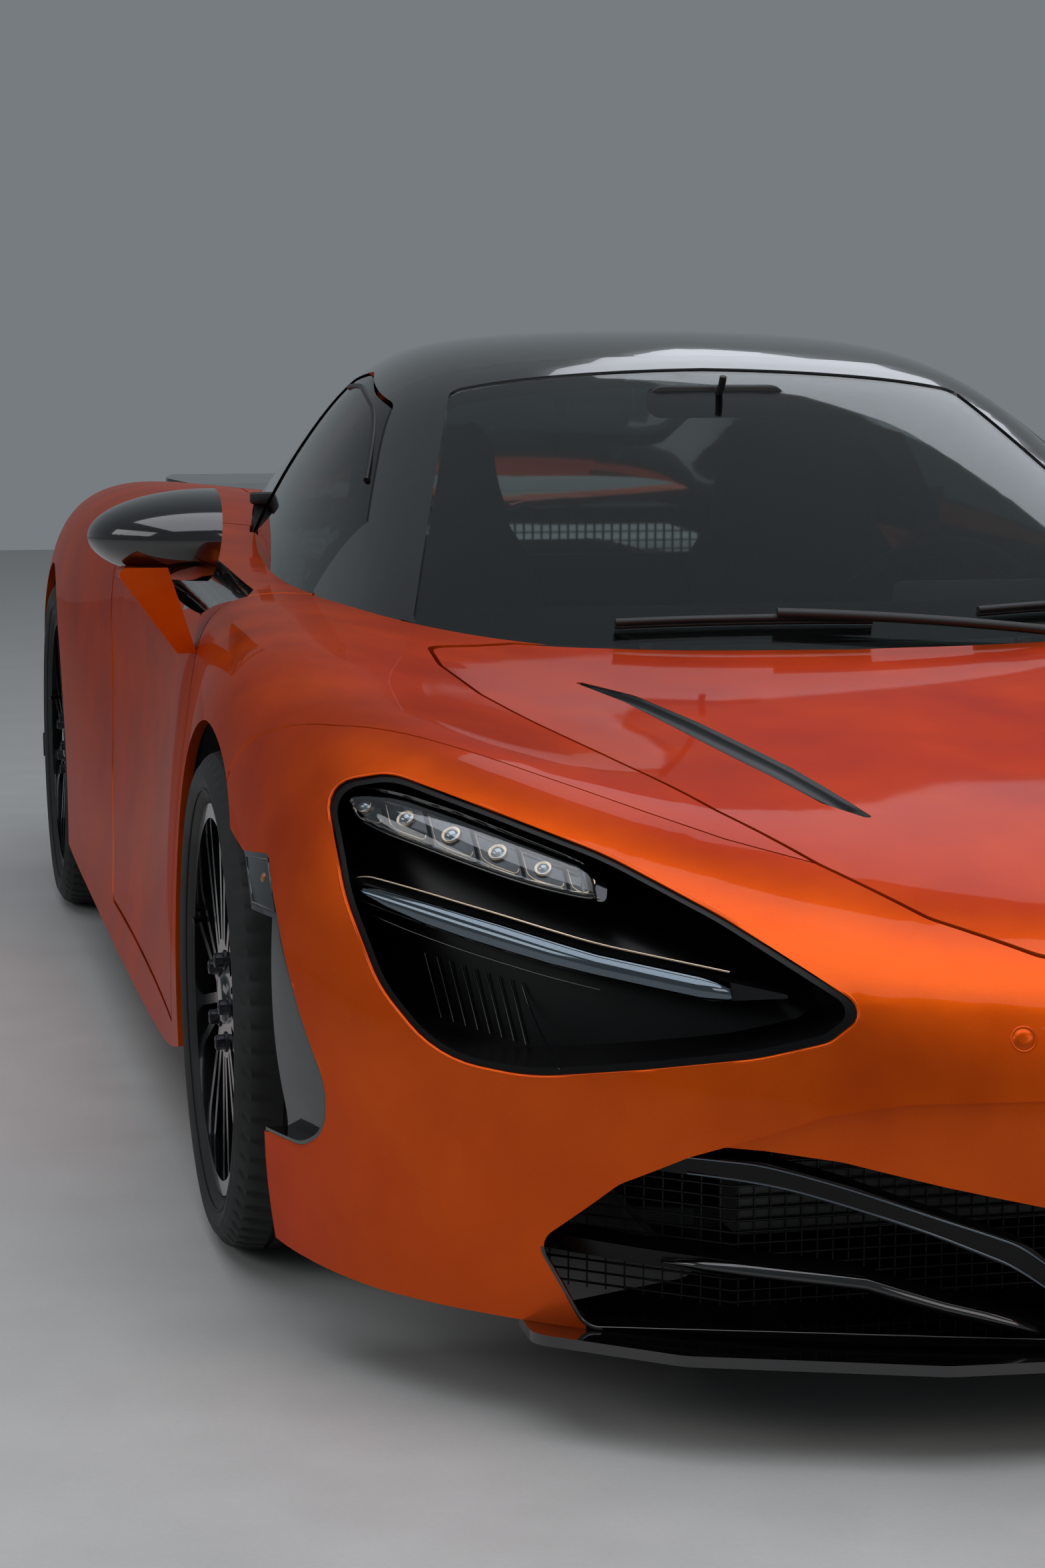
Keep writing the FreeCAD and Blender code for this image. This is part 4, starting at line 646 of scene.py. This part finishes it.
def socket_ribs(side):
    """Fine upright ribs low in the lamp socket."""
    ribs = []
    for k in range(9):
        line = [(770 - 11 * k - 6 * drop, 494 - k * 2.2 - drop * 34) for drop in range(3)]
        ribs.append((0, rod("rib", traced(from_front, "headlamp_bowls", side, line, 0.004), 0.0011)))
    return ribs


# Head lamps: lit row under a clear cover, mirror face of the blade, lines, ribs and the corner marker.
for name, side in SIDES:
    piece(f"lamp_cells_{name}", joined("cells", lit_row(side)), (M["rim"], M["dome"]))
    cover = strip_stations("lamp_units", CELLS, side, COVER_PLACES, 1.3, 9)
    piece(f"lamp_cover_{name}", crowned("cover", cover, 0.008, 0.0015, 12), M["clear"])
    border = [c + h * 1.04 - n * 0.001 for c, h, n in cover]
    border += [c - h * 1.04 - n * 0.001 for c, h, n in reversed(cover)]
    blade = strip_stations("headlamp_blades", BLADE, side, BLADE_PLACES, 1.0, 0.3)
    face = crowned("blade", blade, 0.0065, 0.001, 12)
    piece(f"blade_face_{name}", face, M["reflector"])
    above = [c + h + Vector((0, 0, 0.010)) + n * 0.003 for c, h, n in blade]
    below = [c - h * 1.1 - Vector((0, 0, 0.012)) - n * 0.006 for c, h, n in blade[1:-3]]
    trim = [(1, rod("above", above, 0.0012)), (0, rod("below", below, 0.0009)),
            (0, rod("border", border, 0.0011, True))]
    piece(f"lamp_trim_{name}", joined("trim", socket_ribs(side) + trim), (M["gloss"], M["rim"]))
    frame_line = traced(from_side, "lamp_units", side, MARKER_FRAME, 0.0004)
    seal = rod("seal", frame_line, 0.0012, True, smooth=False)
    bm = bmesh.new()
    turn(bm, MARKER_BULB, 24, mat=1)
    set_on(bm, *from_side("lamp_units", side, MARKER_BULB_AT))
    marker = joined("marker", [(0, seal), (None, to_mesh(bm, "bulb"))])
    piece(f"marker_trim_{name}", marker, (M["gloss"], M["amber"]))

# Near-black sheets in the bonnet's slits, painted shade where the open slits fall dark, between two edges as
# (y, x) in mm.
SLIT_OUT = ((-1835, 250), (-1620, 290), (-1400, 345), (-1255, 392), (-1150, 470))
SLIT_IN = ((-1835, 250), (-1770, 300), (-1570, 352), (-1290, 415), (-1150, 470))
SLIT_GAP = 0.0096
for name, side in SIDES:
    stations = []
    for y in range(-1816, -1165, 36):
        near, far = sorted((along(SLIT_OUT, y), along(SLIT_IN, y)))
        pair = [from_above("bonnet", side, (x, y)) for x in (near - 5, far + 5)]
        if None in pair:
            continue
        (a, na), (b, nb) = pair
        normal = (na + nb).normalized()
        width = (b - a).length
        stations.append(((a + b) / 2 - normal * 0.0012, (b - a) / 2 * (width - SLIT_GAP) / width, normal))
    # Each sheet sits just under the bonnet's face, a little wider than its slit and dished 7 mm, so the slit's
    # painted walls are hidden and it shows as painted shade.
    slit_shade = crowned("slit_shade", stations, -0.007, 0.0015, 6)
    piece(f"slit_shade_sheet_{name}", slit_shade, M["socket"], "bonnet_lid")

# Bright edges of the intake's upper vanes and the rounded face of the lower one.
VANE_LINES = (
    ((560, 315), (500, 313), (466, 311), (383, 290), (300, 261), (240, 241), (198, 225), (150, 184)),
    ((540, 297), (466, 293), (383, 271), (300, 243), (250, 222), (210, 205), (176, 180)),
)
LOWER_TOP = ((0, 124), (150, 134), (284, 167), (364, 192), (700, 214))
LOWER_LOW = ((0, 104), (150, 116), (284, 149), (364, 174), (700, 196))
LOWER_PLACES = (560, 520, 480, 440, 400, 360, 320, 280, 240, 210, 180)
for name, side in SIDES:
    rows = [traced(from_front, "intake_ducts", side, row) for row in VANE_LINES]
    lines = [(0, rod("edge", row, 0.0019)) for row in rows]
    piece(f"vane_edges_{name}", joined("edges", lines), M["reflector"])
    face = strip_stations("intake_ducts", (LOWER_LOW, LOWER_TOP), side, LOWER_PLACES, 1.0, 0.3)
    piece(f"lower_vane_face_{name}", crowned("face", face, 0.007, 0.001, 10), M["gloss"])

# Mesh in the lower intake, in front of the coolers, along a line of (x, y) in metres.
MESH_LINE = ((-0.655, -1.875), (-0.475, -2.016), (0.475, -2.016), (0.655, -1.875))
rods = []
for z in range(136, 372, 13):
    rods.append((0, rod("slat", [(x, y, z * MM) for x, y in MESH_LINE], 0.0014, smooth=False, sides=1)))
for k in range(-36, 37):
    x = k * 0.018
    y = along(MESH_LINE, x) + 0.002
    rods.append((0, rod("bar", [(x, y, 0.130), (x, y, 0.372)], 0.0010, smooth=False, sides=1)))
piece("intake_mesh", joined("mesh", rods), M["satin"])

# Mirror glass in the back of each mirror head: the outer part of an ellipse, with a bezel round it.
MIRROR_AT, MIRROR_REACH = (0.850, -0.452, 0.892), (0.1656, 0.0602)
for name, side in SIDES:
    edge = []
    for k in range(25):
        a = math.radians(-76 + k * 152 / 24)
        edge.append((side * (MIRROR_AT[0] + MIRROR_REACH[0] * math.cos(a)), MIRROR_AT[1],
                     MIRROR_AT[2] + MIRROR_REACH[1] * math.sin(a)))
    bm = bmesh.new()
    plate(bm, edge, (0, 1, 0), 0.003, 0.0008)
    bezel = rod("bezel", [(x, y + 0.0006, z) for x, y, z in edge], 0.0022, True, smooth=False)
    glass = joined("glass", [(None, to_mesh(bm, "glass")), (1, bezel)])
    piece(f"mirror_glass_{name}", glass, (M["mirror"], M["gloss"]), f"{name}_door", smooth=False)


def over_screen(x, y, lift):
    """A point above the windscreen, or above the line of its foot where the glass ends."""
    found = from_above("windscreen", 1, (x / MM, y / MM))
    where, normal = found or (Vector((x, y, 0.752)), Vector((0, -0.48, 0.87)))
    return where + normal * lift


# Wiper blades and arms, parked at the foot of the windscreen: tip, heel, elbow and pivot as (x, y) in metres.
WIPERS = (
    ((-0.330, -0.905), (0.050, -0.914), (0.105, -0.932), (0.330, -0.950)),
    ((0.215, -0.898), (0.585, -0.846), (0.470, -0.905), (0.345, -0.950)),
)
PIVOT = ((-0.012, 0.016), (0.010, 0.016), (0.014, 0.012), (0.014, 0))
for number, (tip, heel, elbow, pivot) in enumerate(WIPERS, 1):
    spots = [Vector(tip).lerp(Vector(heel), k / 8) for k in range(9)]
    rubber = rod("blade", [over_screen(p.x, p.y, 0.005) for p in spots], 0.0035, smooth=False)
    carrier = rod("carrier", [over_screen(p.x, p.y, 0.013) for p in spots], 0.0055)
    middle = Vector(tip).lerp(Vector(heel), 0.62)
    bends = [over_screen(*middle, 0.021), over_screen(*elbow, 0.028), over_screen(*pivot, 0.016)]
    arm = rod("arm", bends, 0.0075)
    bm = bmesh.new()
    turn(bm, PIVOT, 24)
    upright = Matrix.Translation(over_screen(*pivot, 0.004)) @ Matrix.Rotation(math.radians(-90), 4, "Y")
    bmesh.ops.transform(bm, verts=bm.verts, matrix=upright)
    mesh = joined("wiper", ((0, rubber), (1, carrier), (1, arm), (1, to_mesh(bm, "pivot"))))
    piece(f"wiper_{number}", mesh, (M["seal"], M["satin"]))

# Black sheet along the channel in each door's shoulder: painted shade where the deep channel falls dark.
CHANNEL = ((0.812, -0.562), (0.8632, -0.440), (0.8652, -0.150), (0.8532, 0.250), (0.8472, 0.640),
           (0.7748, 0.640), (0.7788, 0.250), (0.7768, -0.150), (0.7788, -0.430))


def inside(x, y, outline):
    """Whether a point lies inside a closed outline."""
    odd = False
    for k in range(len(outline)):
        (x0, y0), (x1, y1) = outline[k - 1], outline[k]
        if (y0 > y) != (y1 > y) and x < (x1 - x0) * (y - y0) / (y1 - y0) + x0:
            odd = not odd
    return odd


for name, side in SIDES:
    bm = bmesh.new()
    bm.from_mesh(NODES[f"door_{name}"].data)
    middles = [(face, face.calc_center_median()) for face in bm.faces]
    gone = [face for face, c in middles
            if not (inside(abs(c.x), c.y, CHANNEL) and c.z > 0.62 and face.normal.z > -0.2)]
    bmesh.ops.delete(bm, geom=gone, context="FACES")
    bmesh.ops.remove_doubles(bm, verts=bm.verts, dist=0.0001)
    for vert in bm.verts:
        vert.co += vert.normal * 0.0007
    # Gloss black laid 0.7 mm over the channel's own painted faces stands in for the shade in its depth.
    piece(f"channel_shade_sheet_{name}", baked(bm, "door_shade_sheet"), M["gloss"], f"{name}_door")

# Rubber seal along the top of each side window, as (y, z) in mm.
GLASS_LINE = ((-640, 800), (-560, 856), (-360, 967), (-170, 1064), (0, 1096), (130, 1112), (280, 1105),
              (400, 1092))
for name, side in SIDES:
    points = traced(from_side, f"door_glass_{name}", side, GLASS_LINE, 0.002)
    piece(f"window_seal_{name}", rod("seal", points, 0.0045), M["seal"], f"{name}_door")

# Seats: bolsters round a middle with sewn channels, and piping. Sizes in metres.
SEAT_X = 0.35
PAD_HALF, PAD_TOP = 0.135, 0.86
BOLSTER = 0.115
CHANNEL_STEP, CHANNEL_HALF = 0.052, 0.006
SEAM_HALF, SEAM_DEEP = 0.008, 0.0055
PIPING = ((0, -0.02, 0.335), (0, 0.14, 0.300), (0.012, 0.27, 0.345), (0.01, 0.315, 0.47),
          (-0.02, 0.352, 0.64), (-0.07, 0.395, 0.82))
for name, side in SIDES:
    bm = bmesh.new()
    bm.from_mesh(NODES["seats"].data)
    bmesh.ops.delete(bm, geom=[f for f in bm.faces if f.calc_center_median().x * side < 0], context="FACES")
    bmesh.ops.remove_doubles(bm, verts=bm.verts, dist=0.0003)
    shape = placed("shape", baked(bm, "shape"))
    net = shape.modifiers.new("net", "REMESH")
    net.mode = "VOXEL"
    net.voxel_size = 0.011
    ease = shape.modifiers.new("ease", "SMOOTH")
    ease.factor = 0.5
    ease.iterations = 14
    mesh = bpy.data.meshes.new_from_object(shape.evaluated_get(bpy.context.evaluated_depsgraph_get()))
    bpy.data.objects.remove(shape)
    bm = bmesh.new()
    bm.from_mesh(mesh)
    mid = side * SEAT_X
    for vert in bm.verts:
        across = abs(vert.co.x - mid)
        facing = vert.normal.y < -0.25 or vert.normal.z > 0.4
        if not facing or vert.co.z < 0.2:
            continue
        low = vert.co.z < PAD_TOP
        sink = SEAM_DEEP * math.exp(-((across - PAD_HALF) / SEAM_HALF) ** 2) if low else 0
        if across < PAD_HALF and low:
            run = vert.co.z if vert.normal.y < -0.5 else vert.co.y
            off = ((run / CHANNEL_STEP) % 1 - 0.5) * CHANNEL_STEP / CHANNEL_HALF
            sink += 0.004 * math.exp(-off ** 2) - 0.004 * math.cos(across / PAD_HALF * math.pi / 2)
        elif across > PAD_HALF:
            sink -= 0.006 * math.sin(min(1, (across - PAD_HALF) / BOLSTER) * math.pi)
        vert.co -= vert.normal * sink
    bm.to_mesh(mesh)
    bm.free()
    pad = piece(f"seat_{name}", mesh, M["leather"], level=1)
    rims = []
    for edge in (-1, 1):
        line = [(mid + edge * (0.215 + x), y, z) for x, y, z in PIPING]
        rims.append((0, rod("piping", line, 0.0045)))
    piece(f"seat_piping_{name}", joined("piping", rims), M["accent"])
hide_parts("seats")
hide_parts("seats")


def slab(name, centre, size, tilt, round_off):
    """A rounded slab: centre, size (x, y, z) and its lean back about X in degrees."""
    bm = bmesh.new()
    bmesh.ops.create_cube(bm, size=1)
    bmesh.ops.scale(bm, vec=size, verts=bm.verts)
    upright = [e for e in bm.edges if abs((e.verts[0].co - e.verts[1].co).normalized().y) > 0.9]
    soften(bm, upright, round_off, 4)
    rims = [e for e in bm.edges if e.calc_face_angle(0) > 1.0]
    soften(bm, rims, min(size) * 0.2)
    lean = Matrix.Translation(centre) @ Matrix.Rotation(math.radians(tilt), 4, "X")
    bmesh.ops.transform(bm, verts=bm.verts, matrix=lean)
    return to_mesh(bm, name)


# Dashboard: cluster, centre screen, air vents and a sewn seam along its top.
DASH_LEAN, CLUSTER_LEAN = -19, -14
parts = [(0, slab("housing", (0, -0.492, 0.668), (0.190, 0.018, 0.132), DASH_LEAN, 0.012)),
         (1, slab("screen", (0, -0.482, 0.669), (0.172, 0.006, 0.114), DASH_LEAN, 0.008)),
         (0, slab("binnacle", (0.35, -0.520, 0.768), (0.270, 0.022, 0.078), CLUSTER_LEAN, 0.020)),
         (1, slab("cluster", (0.35, -0.508, 0.768), (0.248, 0.006, 0.062), CLUSTER_LEAN, 0.014))]
for x in (-0.50, -0.19, 0.17, 0.53):
    parts.append((0, slab("vent", (x, -0.499, 0.716), (0.082, 0.024, 0.044), DASH_LEAN, 0.016)))
    for k in range(-2, 3):
        place = (x, -0.486 + k * 0.0024, 0.717 - k * 0.0075)
        parts.append((2, slab("blade", place, (0.068, 0.003, 0.0018), DASH_LEAN, 0.0006)))
piece("dash_screens", joined("screens", parts), (M["satin"], M["screen"], M["gloss"]))
seam = traced(from_above, "dashboard", 1, [(x, -612) for x in range(-570, 571, 30)], 0.0008)
piece("dash_stitching", rod("seam", seam, 0.0012), M["stitch"])

# Switch row and shifter buttons on the console.
parts = []
for k in range(3):
    found = from_above("dashboard", 1, (0, -330 + k * 44))
    parts.append((k % 2, slab("button", found[0] + Vector((0, 0, 0.004)), (0.046, 0.030, 0.008), 8, 0.006)))
for k in range(4):
    found = from_above("dashboard", 1, (-24 + k * 16, -180))
    parts.append((0, slab("switch", found[0] + Vector((0, 0, 0.006)), (0.010, 0.020, 0.010), 0, 0.003)))
piece("console_buttons", joined("buttons", parts), (M["gloss"], M["bolt"]))

# Inside mirror on its stalk, pedals and floor mats.
parts = [(0, slab("head", (0, -0.262, 1.086), (0.232, 0.016, 0.056), 6, 0.024)),
         (1, slab("glass", (0, -0.2525, 1.087), (0.218, 0.003, 0.046), 6, 0.020)),
         (0, rod("stalk", ((0, -0.268, 1.090), (0, -0.300, 1.110), (0, -0.306, 1.128)), 0.006))]
piece("inside_mirror", joined("mirror", parts), (M["satin"], M["mirror"]))
parts = []
for x, wide in ((0.30, 0.075), (0.40, 0.050)):
    parts.append((0, slab("pad", (x, -0.770, 0.262), (wide, 0.012, 0.090), -28, 0.010)))
    parts.append((1, rod("arm", ((x, -0.778, 0.270), (x, -0.806, 0.36), (x, -0.815, 0.46)), 0.008)))
piece("pedals", joined("pedals", parts), (M["alloy"], M["bolt"]))
MAT = ((-190, -730), (190, -730), (200, -340), (-200, -340))
parts = []
for name, side in SIDES:
    bm = bmesh.new()
    corners = rounded([(side * 345 + x, y, 50) for x, y in MAT])
    plate(bm, [(a * MM, b * MM, 0.1485) for a, b in corners], (0, 0, 1), 0.007, 0.002)
    rim = [(a * MM, b * MM, 0.1545) for a, b in corners]
    parts += [(0, to_mesh(bm, "mat")), (1, rod("binding", rim, 0.003, True, smooth=False))]
piece("floor_mats", joined("mats", parts), (M["carpet"], M["leather"]))

# Door cards: arm rest, pull handle and speaker on the inner face of each door.
GRIP = ((-300, 0.0), (-290, 0.028), (-230, 0.040), (-170, 0.028), (-160, 0.0))
SPEAKER = ((-0.001, 0.072), (0.004, 0.070), (0.006, 0.066), (0.003, 0.060), (0.005, 0.03), (0.006, 0))
for name, side in SIDES:
    door = f"door_{name}"
    stations = []
    for y in range(-330, 331, 44):
        found = from_cabin(door, side, (y, 470 + (y + 330) * 0.05))
        if found:
            u = y / 330
            half = Vector((0, 0, 0.034 * max(0.25, (1 - u ** 6) ** 0.5)))
            stations.append((found[0] + Vector((side * 0.002, 0, 0)), half, Vector((-side, 0, 0))))
    rest = crowned("rest", stations, 0.036, -0.004, 8)
    spots = [(from_cabin(door, side, (y, 590)), Vector((side * out, 0, 0))) for y, out in GRIP]
    grip = [spot[0] - off for spot, off in spots if spot]
    bm = bmesh.new()
    turn(bm, SPEAKER, 48)
    set_on(bm, *from_cabin(door, side, (-420, 360)))
    parts = [(0, rest), (1, rod("grip", grip, 0.008)), (2, to_mesh(bm, "speaker"))]
    piece(f"door_card_{name}", joined("card", parts), (M["leather"], M["bolt"], M["grain"]), f"{name}_door")

# Seat belts hanging at the rear bulkhead, with their guides, tongues and buckles.
BELT_X = 0.635
BELT_LINE = ((0.468, 0.20), (0.466, 0.40), (0.466, 0.62), (0.470, 0.80), (0.474, 0.90))
parts = []
for name, side in SIDES:
    x = side * BELT_X
    strap = [(Vector((x, y, z)), Vector((0.023, 0, 0)), Vector((0, -1, 0))) for y, z in BELT_LINE]
    parts.append((0, crowned("strap", strap, 0.0012, 0.0012, 4)))
    parts.append((1, slab("guide", (x, 0.470, 0.905), (0.060, 0.016, 0.022), 0, 0.006)))
    parts.append((1, slab("tongue", (x, 0.458, 0.56), (0.050, 0.006, 0.036), 0, 0.006)))
    parts.append((1, slab("buckle", (side * 0.108, 0.200, 0.452), (0.018, 0.030, 0.060), 24, 0.004)))
    parts.append((2, slab("release", (side * 0.108, 0.188, 0.478), (0.014, 0.010, 0.012), 24, 0.002)))
piece("seat_belts", joined("belts", parts), (M["webbing"], M["satin"], M["red"]))

# Ribbed cover on the engine with two cast runners, seen through the rear glass.
low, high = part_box("engine_block")
middle_y = (low.y + high.y) / 2
parts = [(0, slab("plenum", (0, middle_y - 0.04, high.z + 0.012), (0.34, 0.40, 0.030), 0, 0.03))]
for k in range(9):
    place = (0, middle_y - 0.20 + k * 0.04, high.z + 0.029)
    parts.append((0, slab("rib", place, (0.30, 0.010, 0.010), 0, 0.004)))
for x in (-0.13, 0.13):
    line = [(x, low.y + 0.06 + k * 0.06, high.z + 0.010 + 0.018 * (k % 2)) for k in range(9)]
    parts.append((1, rod("runner", line, 0.012)))
piece("engine_cover", joined("cover", parts), (M["grain"], M["alloy"]))

# Gearbox casing and cross silencer behind the engine, which close the view through the rear bay.
parts = [(0, slab("casing", (0, 1.50, 0.485), (0.34, 0.34, 0.37), 0, 0.04))]
for k in range(5):
    for x in (0.172, -0.172):
        parts.append((0, slab("rib", (x, 1.38 + 0.06 * k, 0.485), (0.012, 0.012, 0.30), 0, 0.003)))
parts.append((1, slab("silencer", (0, 1.785, 0.51), (0.78, 0.24, 0.34), 0, 0.05)))
for x in (0.22, -0.22):
    parts.append((2, slab("strap", (x, 1.785, 0.51), (0.022, 0.246, 0.346), 0, 0.05)))
low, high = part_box("exhaust_tips")
outer = (high.z - low.z) / 2
for name, side in SIDES:
    pipe = [(side * (high.x - outer), y, (high.z + low.z) / 2) for y in (1.88, 1.95, low.y + 0.02)]
    parts.append((1, rod("pipe", pipe, outer * 0.8, sides=24)))
piece("exhaust_box", joined("exhaust", parts), (M["alloy"], M["iron"], M["satin"]))

# Fuel flap seam on the left rear quarter: an oval round (y, z) in mm.
oval = [(1180 + 68 * math.cos(a), 800 + 52 * math.sin(a)) for a in (math.pi * k / 24 for k in range(48))]
ring = traced(from_side, "quarters", 1, oval, -0.0002)
piece("fuel_flap_seam", rod("flap", ring, 0.0011, True, smooth=False), M["seal"])

# Camera at the photograph's place.
lens = bpy.data.cameras.new("camera")
lens.lens = 71.94
lens.sensor_width = 36
lens.clip_end = 100
eye = placed("camera", lens)
eye.location = (-1.416, -5.202, 1.159)
eye.rotation_euler = (math.radians(90 - 7.762), 0, math.radians(-12.496))
scene.camera = eye

# Floor and soft light. Smooth painted screed: an even pale ground that keeps a soft shadow.
bm = bmesh.new()
bmesh.ops.create_grid(bm, x_segments=2, y_segments=2, size=14)
floor = placed("floor", to_mesh(bm, "floor"))
floor.data.materials.append(material("pale_floor", "#B4B4B2", 0.55, 0.0, 8.0, 0.04, 0.05))


def area_light(name, place, target, width, height, power, colour):
    """A soft lamp of a width and height in metres and a power in watts, turned to a target."""
    data = bpy.data.lights.new(name, "AREA")
    data.shape = "RECTANGLE"
    data.size, data.size_y = width, height
    data.energy = power
    data.color = linear(colour)[:3]
    made = placed(name, data)
    made.location = place
    made.rotation_euler = (Vector(target) - Vector(place)).to_track_quat("-Z", "Y").to_euler()


area_light("overhead", (0.0, -2.6, 7.0), (0, -2.4, 0), 10.0, 8.0, 470, "#F6F8FF")
area_light("right_side", (-9.0, -2.5, 5.0), (0, -0.5, 0.4), 8.0, 3.2, 150, "#FFFFFF")
area_light("front_side", (3.5, -9.5, 5.0), (0, -1.5, 0.4), 7.0, 3.0, 110, "#FFF6EE")
area_light("rear_side", (5.5, 7.0, 7.4), (0, 0.5, 0.6), 8.0, 3.4, 110, "#F2F6FF")

world = bpy.data.worlds.new("studio")
scene.world = world
world.use_nodes = True
back = world.node_tree.nodes["Background"]
back.inputs["Color"].default_value = linear("#767C80")
back.inputs["Strength"].default_value = 1.0
scene.view_settings.view_transform = "Standard"
